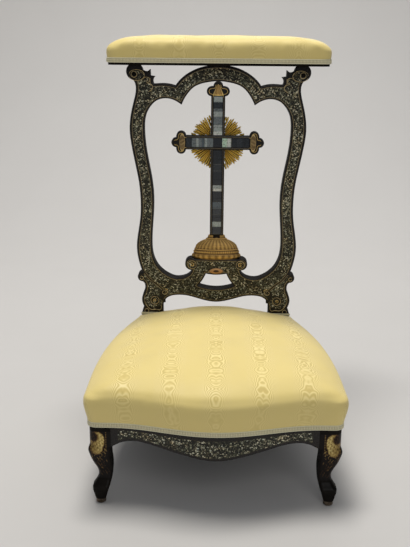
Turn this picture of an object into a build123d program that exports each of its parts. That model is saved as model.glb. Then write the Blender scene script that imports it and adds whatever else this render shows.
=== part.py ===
from build123d import *
import os
from math import cos, pi, sin

# Prie-dieu chair: ebonised frame, pierced back with a standing cross, sprung seat and padded armrest.
# Millimetres. X runs across the chair, the front faces -Y, Z is up.
# The origin is on the floor, half-way across and half-way along the chair.

# Heights above the floor
total_height = 834.0
armrest_underside = 773.0
back_base_height = 213.0
crown_height = 262.0
crease_height = 209.0
rail_top_height = 190.0
cloth_line_height = 155.0
rail_bottom_height = 134.0
glide_height = 9.0

# Clearances
glue_gap = 0.1
cloth_gap = 0.3
overrun = 5.0

# Seat frame in plan
seat_half_width = 227.0
seat_front_y = -255.0
seat_bow = 33.5
seat_bow_reach = 190.0
seat_corner_radius = 14.0
seat_inner_corner_radius = 3.0
seat_widest_y = -172.0
seat_side_taper = 62.0
side_taper_power_share = 2.1
seat_rear_y = 245.0
seat_middle_y = -25.0
rail_thickness = 24.0

# Back in plan, and the square grid on which half of the back is drawn
back_face_y = 220.0
back_thickness = 25.0
back_half_width = 200.0
squares_across_share = 20
squares_up_share = 56
post_inner_x = 122.0
crest_joint_x = 140.0

# Rear leg below the seat, drawn in side view
rear_foot_front_y = 271.0
rear_foot_rear_y = 295.0
rear_foot_inner_x = 146.0
rear_foot_outer_x = 170.0
post_outer_x = 171.5
post_seat_rear_y = 252.0

# Front leg
front_leg_inner_x = 187.5
front_leg_rear_y = -215.0
front_glide_x = 209.0
front_glide_y = -244.0
knee_height = 116.0
front_leg_corner = 7.0

# Front apron below the cloth
apron_depth = 47.0
apron_lip_thickness = 12.0

# Tenons and dowels
tenon_thickness = 8.0
tenon_length = 16.0
tenon_shoulder = 8.0
dowel_radius = 4.0
dowel_length = 24.0
pin_radius = 2.0
pin_length = 14.0

# Glides under the feet
glide_radius = 9.0
glide_edge = 2.0
glide_pin_radius = 2.5
glide_pin_length = 12.0

# Cross, mound and rays
cross_half_width = 15.3
cross_arm_height = 607.5
cross_arm_reach = 102.0
cross_top_height = 739.5
cross_recess = 3.0
cross_thickness = 14.0
lobe_radius = 10.5
lobe_setback = 21.5
lobe_spread = 14.5
tile_half_width = 9.8
tile_depth = 1.5
tile_joint = 0.5
tile_margin = 1.0
ray_radius = 59.0
ray_valley = 8.0
ray_thickness = 6.0
ray_recess = 7.0
ray_tips = 7
mound_foot_height = 343.0
mound_top_height = 399.0
mound_half_width = 55.5
mound_half_depth = 18.0
socket_depth = 20.0

# Armrest
board_width = 464.0
board_depth = 120.0
board_thickness = 16.0
board_corner = 24.0
board_front_y = 156.0
armrest_cloth_rise = 5.0

# Upholstery
cloth_thickness = 1.2
cloth_tight = 0.2
crease_overhang = 6.5
braid_height = 10.0
braid_thickness = 2.5
hessian_thickness = 1.0
hessian_crown_height = 228.0
hessian_inset = 10.0
post_braid_depth = 6.0
post_braid_rise = 4.0

# Webbing, springs and bottom cloth
web_width = 50.0
web_thickness = 1.0
web_columns = 3
web_rows = 3
web_column_pitch = 70.0
web_row_pitch = 108.0
web_lap = 11.0
tack_head_radius = 4.0
tack_head_height = 0.8
tack_shank_radius = 1.2
tack_shank_length = 11.0
tack_spacing = 26.0
spring_radius = 30.0
spring_wire_radius = 1.8
spring_turns = 5
bottom_cloth_thickness = 0.8
bottom_cloth_inset = 1.0

# Corner blocks
block_leg = 62.0
block_height = 34.0
block_drop = 4.0
screw_radius = 1.9
screw_head_radius = 3.8
screw_head_height = 2.4
screw_bite = 13.0
screw_step = 30.0

# Outlines of the back, in squares of the grid: across from the middle, up from the base of the back
upright_inner_shares = [
    (12.2, 10.0), (13.65, 11.7), (14.45, 13.8), (14.7, 16.7), (14.5, 20.7), (14.2, 25.7), (14.52, 30.7),
    (15.23, 34.7), (15.9, 38.7), (16.13, 42.2), (15.65, 45.7), (15.05, 46.8), (14.0, 48.0),
]
leaf_shares = [(14.0, 52.0), (14.15, 52.8), (13.7, 53.55)]
leaf_step_shares = [(13.7, 53.55), (14.7, 53.7), (14.75, 55.05)]
leaf_valley_shares = [(14.75, 55.05), (15.5, 54.6), (16.34, 54.84)]
head_left_shares = [(16.34, 54.84), (16.45, 55.2), (17.03, 56.0)]
head_right_shares = [(19.17, 56.0), (19.9, 54.55), (18.4, 52.78)]
upright_outer_shares = [
    (18.4, 52.78), (17.9, 51.7), (17.92, 50.1), (18.5, 47.7), (19.15, 44.7), (19.33, 42.3), (18.95, 38.7),
    (18.2, 34.7), (17.45, 30.7), (17.1, 26.2), (17.25, 22.4), (17.83, 18.7), (18.1, 15.5), (17.75, 12.8),
    (16.85, 9.8),
]
ear_shares = [(16.85, 9.8), (18.0, 8.7), (16.85, 7.6)]
block_shares = [
    (16.85, 7.6), (16.4, 7.0), (16.3, 6.4), (16.45, 5.5), (16.8, 4.6), (17.08, 3.5), (17.0, 2.6),
    (16.58, 1.55),
]
plinth_shares = [(16.58, 1.55), (16.85, 0.9), (17.15, 0.0)]
shoulder_shares = [(14.0, 52.0), (13.0, 52.05), (11.9, 52.1), (10.7, 52.0), (9.3, 51.65)]
outer_arch_shares = [(9.3, 51.65), (8.0, 53.2), (6.0, 54.6), (3.5, 55.6), (0.0, 56.0)]
inner_arch_shares = [
    (0.0, 52.65), (2.2, 52.43), (4.0, 52.0), (5.2, 51.42), (6.2, 50.5), (7.1, 49.3), (7.98, 47.6),
]
side_lobe_shares = [(7.98, 47.6), (9.0, 48.3), (10.0, 48.73), (11.5, 48.95), (13.0, 48.63), (14.0, 48.0)]
rail_under_shares = [
    (0.0, 2.85), (2.0, 3.08), (4.0, 3.6), (6.0, 4.17), (7.6, 4.42), (9.0, 4.42), (10.3, 4.2), (11.2, 3.75),
    (11.8, 3.1), (12.1, 2.3), (12.2, 1.5),
]
rail_over_shares = [
    (12.2, 10.0), (11.5, 9.45), (10.6, 8.95), (9.7, 8.58), (8.7, 8.45), (7.6, 8.6), (6.6, 9.0), (5.95, 9.55),
    (5.55, 10.45),
]
cradle_scroll_shares = [(5.55, 10.45), (7.1, 11.85), (5.2, 13.16)]
cradle_top_shares = [(5.2, 13.16), (4.95, 13.0), (0.0, 13.0)]
cradle_floor_shares = [(4.15, 6.8), (2.2, 6.22), (0.0, 6.0)]
cradle_side_shares = [(4.15, 6.8), (3.35, 7.75), (2.72, 8.8), (2.35, 9.6)]
cradle_ceiling_shares = [(2.35, 9.6), (1.2, 9.42), (0.0, 9.35)]

# Rear leg in side view: along from the face of the back to the foot's front or rear, and up from the floor
leg_front_shares = [(0.0, 1.0), (0.0, 0.72), (0.08, 0.55), (0.28, 0.36), (0.62, 0.16), (1.0, 0.0)]
leg_rear_shares = [(0.0, 0.72), (0.06, 0.55), (0.22, 0.36), (0.56, 0.16), (1.0, 0.0)]

# Front leg, as height, then inner, outer, front and rear faces, in shares of the knee block
front_leg_shares = [
    (1.0, 0.0, 1.0, 0.0, 1.0),
    (0.86, 0.03, 1.025, 0.0, 0.96),
    (0.73, 0.01, 0.925, 0.1, 0.93),
    (0.59, -0.02, 0.755, 0.2, 0.91),
    (0.475, -0.005, 0.65, 0.265, 0.91),
    (0.38, 0.02, 0.665, 0.25, 0.88),
    (0.3, 0.06, 0.765, 0.14, 0.81),
    (0.235, 0.11, 0.9, 0.0, 0.725),
    (0.17, 0.175, 0.9, 0.0, 0.66),
    (0.0, 0.31, 0.79, 0.065, 0.5),
]
# Levels of the leg's shank down to the toe; below them it is cut in flat facets
toe_rows = 8

# Lower edge of the front apron: along from the middle, down from the cloth line
apron_shares = [
    (0.0, 1.0), (0.11, 0.975), (0.22, 0.9), (0.32, 0.825), (0.43, 0.735), (0.535, 0.65), (0.64, 0.57),
    (0.735, 0.52), (0.8, 0.53), (0.855, 0.565), (0.91, 0.635), (0.96, 0.74), (1.0, 0.83),
]
# Lower edge of a side rail: along from the front leg, down from the cloth line in shares of the apron
side_apron_shares = [
    (0.0, 0.79), (0.04, 0.6), (0.1, 0.48), (0.2, 0.45), (0.85, 0.45), (0.95, 0.5), (1.0, 0.62),
]

# Rings of the seat's crown: part of the rise, width, how far the front edge and the rear edge have moved in,
# how much further the rear corners have, and how much of the corner notches is left
crown_shares = [
    (0.0, 1.0, 0.0, 0.0, 0.0, 1.0), (0.132, 0.985, 0.0185, 0.0235, 0.186, 0.2),
    (0.245, 0.951, 0.044, 0.049, 0.215, 0.15), (0.36, 0.908, 0.08, 0.1, 0.247, 0.12),
    (0.5, 0.835, 0.145, 0.168, 0.285, 0.1), (0.62, 0.75, 0.22, 0.237, 0.309, 0.1),
    (0.74, 0.642, 0.32, 0.345, 0.31, 0.1), (0.85, 0.514, 0.46, 0.476, 0.287, 0.1),
    (0.94, 0.385, 0.61, 0.59, 0.24, 0.1), (1.0, 0.214, 0.79, 0.747, 0.144, 0.1),
]
seat_side_shares = [(0.0, 0.0), (0.2, 0.06), (0.65, 0.5), (1.0, 1.0)]
# Crown of the armrest: inset across and along in shares of half its depth, and part of the rise
armrest_crown_shares = [
    (0.0, 0.0, 0.0), (0.053, 0.03, 0.234), (0.15, 0.083, 0.428), (0.3, 0.175, 0.581), (0.5, 0.317, 0.725),
    (0.77, 0.45, 0.831), (1.08, 0.567, 0.912), (1.47, 0.683, 0.969), (1.87, 0.783, 1.0),
]
armrest_corner_share = 0.42
armrest_side_rise_share = 0.43

# Mound under the cross: half width and height
mound_shares = [
    (0.89, 0.0), (1.0, 0.125), (0.96, 0.23), (0.9, 0.3), (0.9, 0.375), (0.86, 0.41), (0.83, 0.52),
    (0.75, 0.625), (0.6, 0.73), (0.43, 0.8), (0.36, 0.86), (0.34, 0.93), (0.3, 1.0),
]
# Joints between the pearl tiles, along the lower post, the upper post and each arm
lower_post_tile_shares = [0.0, 0.1, 0.21, 0.33, 0.44, 0.55, 0.66, 0.78, 0.89, 1.0]
upper_post_tile_shares = [0.0, 0.2, 0.37, 0.65, 0.86, 1.0]
arm_tile_shares = [0.0, 0.33, 0.62, 0.82, 1.0]
spring_place_shares = [(-1, -1), (1, -1), (0, 0), (-1, 1), (1, 1)]

square_x = back_half_width / squares_across_share
square_z = (armrest_underside - back_base_height) / squares_up_share
post_middle_y = back_face_y + back_thickness / 2
cross_face_y = back_face_y + cross_recess


def on_grid(shares):
    """Points of the back's drawing, from squares of the grid to millimetres across and up."""
    return [(across * square_x, back_base_height + up * square_z) for across, up in shares]


def mirrored(points):
    """The same stretch on the other side of the middle, in the opposite order."""
    return [(-x, z) for x, z in reversed(points)]


def curve(points):
    """A smooth edge through points, or a straight one where there are only two."""
    return Line(*points) if len(points) == 2 else Spline(*points)


def arc(points):
    """A round edge through three points."""
    return ThreePointArc(*points)


def slab(edges, front_y, rear_y):
    """A board cut to an upright outline, from its front face to its rear face."""
    face = make_face(edges)
    return extrude(Plane.XZ.offset(-rear_y) * face, amount=rear_y - front_y)


def bar(x0, x1, y0, y1, z0, z1):
    """A straight bar between two opposite corners."""
    middle = ((x0 + x1) / 2, (y0 + y1) / 2, (z0 + z1) / 2)
    return Pos(*middle) * Box(abs(x1 - x0), abs(y1 - y0), abs(z1 - z0))


def rod(x, y, z0, z1, radius):
    """An upright round rod."""
    return Pos(x, y, (z0 + z1) / 2) * Cylinder(radius, z1 - z0)


def other_side(piece):
    """The left-hand twin of a right-hand piece."""
    return mirror(piece, about=Plane.YZ)


def seat_half_width_at(y):
    """Half of the seat frame's width at a depth: parallel in front, drawn in towards the back."""
    share = max(0, (y - seat_widest_y) / (back_face_y - seat_widest_y))
    return seat_half_width - seat_side_taper * share**side_taper_power_share


def seat_front_at(x):
    """The serpentine front of the seat frame."""
    swell = cos(pi / 2 * min(1, abs(x) / seat_bow_reach)) ** 2
    return seat_front_y - seat_bow * swell


def crown_place(x, y, offset, row):
    """Where a point of the seat's outline, moved out by an offset, goes in a ring of the crown."""
    _, width, front, rear, droop, _ = row
    along = y - seat_middle_y
    reach = seat_rear_y + offset - seat_middle_y
    corner_x = seat_half_width_at(back_face_y) + offset
    share = min(1, max(0, along / reach))
    moved = along * (1 - (rear if along > 0 else front))
    moved -= droop * reach * (x / corner_x * share) ** 2
    return (x * width, seat_middle_y + moved)


def seat_outline(offset, row=crown_shares[0], stations=12):
    """Plan of the seat, moved out by an offset and notched for the posts, or of a ring of its crown."""
    notch = row[-1]
    radius = max(seat_corner_radius + offset, seat_inner_corner_radius)
    flat = seat_half_width + offset - radius
    rear = seat_rear_y + offset
    notch_y = rear - notch * (rear - back_face_y + cloth_gap)
    notch_x = post_inner_x - cloth_gap
    side_start = seat_front_y - offset + radius
    front = []
    for i in range(-stations, stations + 1):
        x = flat * i / stations
        front.append(crown_place(x, seat_front_at(x) - offset, offset, row))
    reach = radius * cos(pi / 4)
    corner = crown_place(flat + reach, side_start - reach, offset, row)
    side = []
    for i in range(stations + 1):
        y = side_start + (notch_y - side_start) * i / stations
        x = seat_half_width_at(min(y, back_face_y)) + offset
        side.append(crown_place(x, y, offset, row))
    shelf = crown_place(notch_x, notch_y, offset, row)
    heel = crown_place(notch_x, rear, offset, row)
    middle = crown_place(0, rear, offset, row)
    edges = Spline(*front)
    edges += ThreePointArc(front[-1], corner, side[0])
    edges += Spline(*side)
    edges += Polyline(side[-1], shelf, heel)
    edges += Spline(heel, middle, (-heel[0], heel[1]))
    edges += Polyline(*mirrored([side[-1], shelf, heel]))
    edges += Spline(*mirrored(side))
    edges += ThreePointArc((-side[0][0], side[0][1]), (-corner[0], corner[1]), front[0])
    return make_face(edges)


def seat_prism(offset, z0, z1):
    """The seat's plan carried straight up between two heights."""
    return extrude(Pos(0, 0, z0) * seat_outline(offset), amount=z1 - z0)


def crowned(offset, rim_height, crown, inset=0):
    """A domed form over the seat's plan: flat below, and crowned to a height above its rim."""
    sections = []
    for row in crown_shares:
        height = rim_height + (crown - rim_height) * row[0] - inset
        sections.append(Pos(0, 0, height) * seat_outline(offset - inset, row))
    return loft(sections, ruled=True)


def cushion(inset, bottom):
    """The upholstered seat's outer form, or the form inside it by an inset: swelling sides and a crown."""
    sections = []
    top = crease_height - inset
    for rise, swell in seat_side_shares:
        height = bottom + (top - bottom) * rise
        lean = cloth_tight + cloth_thickness + (crease_overhang - cloth_tight - cloth_thickness) * swell
        sections.append(Pos(0, 0, height) * seat_outline(lean - inset))
    sides = loft(sections, ruled=True)
    return sides + crowned(crease_overhang, crease_height, crown_height, inset)


def tenon(x0, x1, y0, y1, z0, z1, gap=0):
    """A tenon, or the mortise that takes it when a gap is given."""
    return bar(x0 - gap, x1 + gap, y0 - gap, y1 + gap, z0 - gap, z1 + gap)


# Tenons of the back: a rail's end in an upright, right-hand side
def crest_tenon(gap=0):
    low = back_base_height + side_lobe_shares[-1][1] * square_z + tenon_shoulder
    high = back_base_height + shoulder_shares[0][1] * square_z - tenon_shoulder
    y0 = post_middle_y - tenon_thickness / 2
    x1 = crest_joint_x + tenon_length
    return tenon(crest_joint_x - overrun, x1, y0, y0 + tenon_thickness, low, high, gap)


def lower_tenon(gap=0):
    low = back_base_height + rail_under_shares[-1][1] * square_z + tenon_shoulder
    high = back_base_height + rail_over_shares[0][1] * square_z - tenon_shoulder
    y0 = post_middle_y - tenon_thickness / 2
    x1 = post_inner_x + tenon_length
    return tenon(post_inner_x - overrun, x1, y0, y0 + tenon_thickness, low, high, gap)


# Tenons of the seat frame, right-hand side
def frame_tenon_heights():
    return rail_bottom_height + tenon_shoulder, rail_top_height - tenon_shoulder


def front_tenon(gap=0):
    low, high = frame_tenon_heights()
    y0 = seat_front_y + (rail_thickness - tenon_thickness) / 2
    x0 = front_leg_inner_x - overrun
    return tenon(x0, front_leg_inner_x + tenon_length, y0, y0 + tenon_thickness, low, high, gap)


def side_tenon_front(gap=0):
    low, high = frame_tenon_heights()
    x0 = seat_half_width - (rail_thickness + tenon_thickness) / 2
    y0 = front_leg_rear_y - tenon_length
    return tenon(x0, x0 + tenon_thickness, y0, front_leg_rear_y + overrun, low, high, gap)


def side_tenon_rear(gap=0):
    low, high = frame_tenon_heights()
    x0 = seat_half_width_at(back_face_y) - (rail_thickness + tenon_thickness) / 2
    y0 = back_face_y - overrun
    return tenon(x0, x0 + tenon_thickness, y0, back_face_y + tenon_length, low, high, gap)


def rear_tenon(gap=0):
    low, high = frame_tenon_heights()
    y0 = seat_rear_y - (rail_thickness + tenon_thickness) / 2
    x0 = post_inner_x - overrun
    return tenon(x0, post_inner_x + tenon_length, y0, y0 + tenon_thickness, low, high, gap)


# Back
def head_dowel_x():
    return (head_left_shares[-1][0] + head_right_shares[0][0]) / 2 * square_x


def crest_dowel_x():
    return dowel_radius * 3


def dowel_places():
    """The dowels that carry the armrest: one in each scroll head and two in the arch."""
    return [-head_dowel_x(), -crest_dowel_x(), crest_dowel_x(), head_dowel_x()]


def armrest_dowels(gap=0):
    half = dowel_length / 2
    rods = []
    low = armrest_underside - half - gap
    high = armrest_underside + half + gap
    for x in dowel_places():
        rods.append(rod(x, post_middle_y, low, high, dowel_radius + gap))
    return rods


def right_upright():
    """Post of the back with its scroll head, leaves, ear and block, and the raked rear leg below it."""
    inner = on_grid(upright_inner_shares)
    leg_inner = [
        (rear_foot_inner_x, glide_height),
        ((rear_foot_inner_x + post_inner_x) / 2, (glide_height + rail_bottom_height) / 2 - overrun),
        (post_inner_x, rail_bottom_height),
    ]
    edges = curve(leg_inner)
    edges += Line(leg_inner[-1], inner[0])
    edges += curve(inner)
    edges += Line(inner[-1], on_grid(leaf_shares)[0])
    edges += curve(on_grid(leaf_shares))
    edges += Polyline(*on_grid(leaf_step_shares))
    edges += curve(on_grid(leaf_valley_shares))
    edges += arc(on_grid(head_left_shares))
    edges += Line(on_grid(head_left_shares)[-1], on_grid(head_right_shares)[0])
    edges += arc(on_grid(head_right_shares))
    edges += curve(on_grid(upright_outer_shares))
    edges += arc(on_grid(ear_shares))
    edges += curve(on_grid(block_shares))
    edges += curve(on_grid(plinth_shares))
    plinth = on_grid(plinth_shares)[-1]
    foot = (rear_foot_outer_x, glide_height)
    edges += Polyline(plinth, (post_outer_x, rail_bottom_height), foot, leg_inner[0])
    front_view = slab(edges, back_face_y - overrun, rear_foot_rear_y + overrun)
    upright = front_view & rear_leg_side()
    upright -= crest_tenon(glue_gap)
    upright -= lower_tenon(glue_gap)
    upright -= side_tenon_rear(glue_gap)
    upright -= rear_tenon(glue_gap)
    upright -= rear_glide_pin(glue_gap)
    for dowel in armrest_dowels(glue_gap):
        upright -= dowel
    return upright


def rear_leg_side():
    """Side view of an upright: a flat board above the seat, a sabre leg that kicks back below it."""
    rise = back_base_height - glide_height
    front = []
    for along, up in leg_front_shares:
        front.append((back_face_y + (rear_foot_front_y - back_face_y) * along, glide_height + rise * up))
    rear = []
    for along, up in leg_rear_shares:
        y = post_seat_rear_y + (rear_foot_rear_y - post_seat_rear_y) * along
        rear.append((y, glide_height + rise * up))
    panel_rear = back_face_y + back_thickness
    top = armrest_underside
    edges = Spline(*front[1:])
    edges += Line(front[-1], rear[-1])
    edges += Spline(*rear)
    heads = [(panel_rear, back_base_height), (panel_rear, top), (back_face_y, top)]
    edges += Polyline(rear[0], *heads, front[1])
    return extrude(Plane.YZ * make_face(edges), amount=back_half_width)


def crest_rail():
    """Triple-arched top rail, tenoned between the uprights."""
    shoulder = on_grid(shoulder_shares)
    outer = on_grid(outer_arch_shares)
    inner = on_grid(inner_arch_shares)
    lobe = on_grid(side_lobe_shares)
    edges = curve(shoulder)
    edges += curve(outer + mirrored(outer)[1:])
    edges += curve(mirrored(shoulder))
    edges += Line(mirrored(shoulder)[-1], mirrored(lobe)[0])
    edges += curve(mirrored(lobe))
    edges += curve(mirrored(inner) + inner[1:])
    edges += curve(lobe)
    edges += Line(lobe[-1], shoulder[0])
    rail = slab(edges, back_face_y, back_face_y + back_thickness)
    rail += crest_tenon()
    rail += other_side(crest_tenon())
    rail -= cross_pin(glue_gap)
    for dowel in armrest_dowels(glue_gap):
        rail -= dowel
    return rail


def lower_back_rail():
    """Wavy lower rail with the pierced cradle that carries the mound."""
    under = on_grid(rail_under_shares)
    over = on_grid(rail_over_shares)
    scroll = on_grid(cradle_scroll_shares)
    top = on_grid(cradle_top_shares)
    edges = curve(mirrored(under) + under[1:])
    edges += Line(under[-1], over[0])
    edges += curve(over)
    edges += arc(scroll)
    edges += Polyline(*(top[:2] + mirrored(top[:2])))
    edges += arc(mirrored(scroll))
    edges += curve(mirrored(over))
    edges += Line(mirrored(over)[-1], mirrored(under)[0])
    rail = slab(edges, back_face_y, back_face_y + back_thickness)
    floor = on_grid(cradle_floor_shares)
    side = on_grid(cradle_side_shares)
    ceiling = on_grid(cradle_ceiling_shares)
    hole = curve(side)
    hole += curve(ceiling + mirrored(ceiling)[1:])
    hole += curve(mirrored(side))
    hole += curve(mirrored(floor[::-1]) + floor[::-1][1:])
    rail -= slab(hole, back_face_y - overrun, back_face_y + back_thickness + overrun)
    rail += lower_tenon()
    rail += other_side(lower_tenon())
    for dowel in mound_dowels(glue_gap):
        rail -= dowel
    return rail


# Cross, rays and mound
def trefoil(x, z, along_x, along_z):
    """The three lobes at an end of the cross; the arm runs along one of the two directions."""
    tip_x = x - along_x * lobe_radius
    tip_z = z - along_z * lobe_radius
    neck_x = x - along_x * lobe_setback
    neck_z = z - along_z * lobe_setback
    places = [(tip_x, tip_z)]
    for side in (-1, 1):
        places.append((neck_x + side * along_z * lobe_spread, neck_z + side * along_x * lobe_spread))
    y = cross_face_y + cross_thickness / 2
    lobes = [Pos(px, y, pz) * Rot(90, 0, 0) * Cylinder(lobe_radius, cross_thickness) for px, pz in places]
    return lobes[0] + lobes[1] + lobes[2]


def cross_bar(half_x, z0, z1):
    return bar(-half_x, half_x, cross_face_y, cross_face_y + cross_thickness, z0, z1)


def cross_post():
    """Upright of the cross: trefoil at the top, tenon in the mound, lapped behind the arm."""
    shaft_top = cross_top_height - lobe_radius
    post = cross_bar(cross_half_width, mound_top_height, shaft_top)
    post += trefoil(0, cross_top_height, 0, 1)
    post += post_tenon()
    lap_half = cross_half_width + glue_gap
    middle_y = cross_face_y + cross_thickness / 2
    lap_x = cross_half_width + overrun
    lap_y = cross_face_y - overrun
    low = cross_arm_height - lap_half
    post -= bar(-lap_x, lap_x, lap_y, middle_y + glue_gap, low, cross_arm_height + lap_half)
    post -= cross_pin(glue_gap)
    for tile in post_tiles(glue_gap):
        post -= tile
    return post


def cross_arm():
    """Arm of the cross with a trefoil at each end, lapped in front of the post."""
    low = cross_arm_height - cross_half_width
    high = cross_arm_height + cross_half_width
    arm = cross_bar(cross_arm_reach - lobe_radius, low, high)
    arm += trefoil(cross_arm_reach, cross_arm_height, 1, 0)
    arm += trefoil(-cross_arm_reach, cross_arm_height, -1, 0)
    lap_half = cross_half_width + glue_gap
    middle_y = cross_face_y + cross_thickness / 2
    lap_y = cross_face_y + cross_thickness + overrun
    arm -= bar(-lap_half, lap_half, middle_y, lap_y, low - overrun, high + overrun)
    for tile in arm_tiles(glue_gap):
        arm -= tile
    return arm


def post_tenon(gap=0):
    half_x = cross_half_width / 2
    half_y = tenon_thickness / 2
    y = cross_face_y + cross_thickness / 2
    low = mound_top_height - socket_depth - gap
    return bar(-half_x - gap, half_x + gap, y - half_y - gap, y + half_y + gap, low, mound_top_height + gap)


def cross_pin(gap=0):
    """Pin that holds the top of the cross to the arch."""
    y = cross_face_y + cross_thickness / 2
    half = pin_length / 2
    return rod(0, y, cross_top_height - half - gap, cross_top_height + half + gap, pin_radius + gap)


def tile_row(shares, start, end):
    """Ends of the tiles in a row, with a fine joint between neighbours."""
    length = end - start
    rows = []
    for low, high in zip(shares, shares[1:]):
        rows.append((start + length * low + tile_joint / 2, start + length * high - tile_joint / 2))
    return rows


def post_tiles(gap=0):
    """Mother-of-pearl tiles down the face of the post, above and below the arm."""
    clear = cross_half_width + tile_margin
    low = tile_row(lower_post_tile_shares, mound_top_height + tile_margin, cross_arm_height - clear)
    high_end = cross_top_height - lobe_setback - lobe_radius
    high = tile_row(upper_post_tile_shares, cross_arm_height + clear, high_end)
    face = cross_face_y
    half = tile_half_width + gap
    return [bar(-half, half, face, face + tile_depth + gap, z0 - gap, z1 + gap) for z0, z1 in low + high]


def arm_tiles(gap=0):
    """Mother-of-pearl tiles along the arms, with one large tile over the crossing."""
    face = cross_face_y
    end = cross_arm_reach - lobe_setback - lobe_radius
    half = tile_half_width + gap
    spans = [(-tile_half_width, tile_half_width)]
    for x0, x1 in tile_row(arm_tile_shares, tile_half_width, end):
        spans.append((x0, x1))
        spans.append((-x1, -x0))
    low = cross_arm_height - half
    high = cross_arm_height + half
    return [bar(x0 - gap, x1 + gap, face, face + tile_depth + gap, low, high) for x0, x1 in spans]


def glory(side, up):
    """A fan of rays that fills one angle of the cross; its tips lie on one circle."""
    points = []
    steps = ray_tips * 2
    for i in range(steps + 1):
        angle = pi / 2 * i / steps
        radius = ray_radius - ray_valley if i % 2 == 0 else ray_radius
        points.append((radius * cos(angle), radius * sin(angle)))
    near = cross_half_width + glue_gap
    tips = [(x, z) for x, z in points if x > near and z > near]
    first = (tips[0][0], near)
    last = (near, tips[-1][1])
    corners = [(near, near), first] + tips + [last]
    placed = [(side * x, cross_arm_height + up * z) for x, z in corners]
    front = cross_face_y + ray_recess
    return slab(Polyline(*placed, close=True), front, front + ray_thickness)


def mound_dowel_x():
    return mound_half_width / 2


def mound_dowels(gap=0):
    """Dowels between the cradle and the mound."""
    half = dowel_length / 2
    rods = []
    low = mound_foot_height - half - gap
    high = mound_foot_height + half + gap
    for x in (-mound_dowel_x(), mound_dowel_x()):
        rods.append(rod(x, post_middle_y, low, high, dowel_radius + gap))
    return rods


def cross_mound():
    """Gilt stepped mound, oval in plan, with the socket of the cross in its top."""
    rise = mound_top_height - mound_foot_height
    profile = [(mound_half_width * across, rise * up) for across, up in mound_shares]
    edges = Polyline((0, 0), *profile, (0, rise), close=True)
    turned = revolve(Plane.XZ * make_face(edges), axis=Axis.Z)
    oval = scale(turned, by=(1, mound_half_depth / mound_half_width, 1))
    mound = Pos(0, post_middle_y, mound_foot_height) * oval
    mound -= post_tenon(glue_gap)
    for dowel in mound_dowels(glue_gap):
        mound -= dowel
    return mound


# Seat frame
def front_leg_section(row):
    """One level of the cabriole leg, as a rounded rectangle in plan."""
    up, inner, outer, front, rear = row
    width = seat_half_width - front_leg_inner_x
    depth = front_leg_rear_y - seat_front_y
    x0 = front_leg_inner_x + inner * width
    x1 = front_leg_inner_x + outer * width
    y0 = seat_front_y + front * depth
    y1 = seat_front_y + rear * depth
    z = glide_height + up * (knee_height - glide_height)
    face = RectangleRounded(x1 - x0, y1 - y0, front_leg_corner)
    return Pos((x0 + x1) / 2, (y0 + y1) / 2, z) * face


def right_front_leg():
    """Cabriole leg: knee block between the rails, waisted ankle and turned-out toe."""
    block = seat_prism(0, knee_height, rail_top_height)
    block &= bar(front_leg_inner_x, seat_half_width + overrun, seat_front_y - overrun, front_leg_rear_y,
                 knee_height, rail_top_height)
    shank = [front_leg_section(row) for row in front_leg_shares]
    leg = block + loft(shank[:toe_rows]) + loft(shank[toe_rows - 1:], ruled=True)
    leg -= front_tenon(glue_gap)
    leg -= side_tenon_front(glue_gap)
    leg -= front_glide_pin(glue_gap)
    return leg


def rail_band(z0, z1, inner_offset=-rail_thickness):
    """The ring of timber between the seat's outline and the same outline moved in by a rail."""
    return seat_prism(0, z0, z1) - seat_prism(inner_offset, z0 - overrun, z1 + overrun)


def front_seat_rail():
    """Serpentine front rail with its apron, and a step behind the apron for the webbing."""
    half = front_leg_inner_x
    low = cloth_line_height - apron_depth
    under = [(half * along, cloth_line_height - apron_depth * down) for along, down in apron_shares]
    edges = curve(mirrored(under) + under[1:])
    edges += Polyline(under[-1], (half, rail_top_height), (-half, rail_top_height), (-half, under[-1][1]))
    front = seat_front_y - seat_bow - overrun
    rail = slab(edges, front, front_leg_rear_y) & rail_band(low - overrun, rail_top_height)
    rail -= seat_prism(-apron_lip_thickness, low - overrun, rail_bottom_height)
    rail += front_tenon()
    rail += other_side(front_tenon())
    for screw in block_screws(glue_gap):
        rail -= screw
    for tack in web_tacks(glue_gap):
        rail -= tack
    return rail


def right_seat_rail():
    """Side rail, bowed in plan and shaped below."""
    span = back_face_y - front_leg_rear_y
    under = []
    for along, down in side_apron_shares:
        under.append((front_leg_rear_y + span * along, cloth_line_height - apron_depth * down))
    edges = curve(under)
    upper = [(back_face_y, rail_top_height), (front_leg_rear_y, rail_top_height)]
    edges += Polyline(under[-1], *upper, under[0])
    side_view = extrude(Plane.YZ * make_face(edges), amount=seat_half_width + overrun)
    low = cloth_line_height - apron_depth
    rail = side_view & rail_band(low, rail_top_height)
    rail -= seat_prism(-apron_lip_thickness, low, rail_bottom_height)
    rail += side_tenon_front()
    rail += side_tenon_rear()
    for screw in block_screws(glue_gap):
        rail -= screw
    for tack in web_tacks(glue_gap):
        rail -= tack
    return rail


def rear_seat_rail():
    """Straight rail between the posts."""
    rail = bar(-post_inner_x, post_inner_x, seat_rear_y - rail_thickness, seat_rear_y,
               rail_bottom_height, rail_top_height)
    rail += rear_tenon()
    rail += other_side(rear_tenon())
    for screw in block_screws(glue_gap):
        rail -= screw
    for tack in web_tacks(glue_gap):
        rail -= tack
    return rail


def block_heights():
    top = rail_top_height - block_drop
    return top - block_height, top


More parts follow.
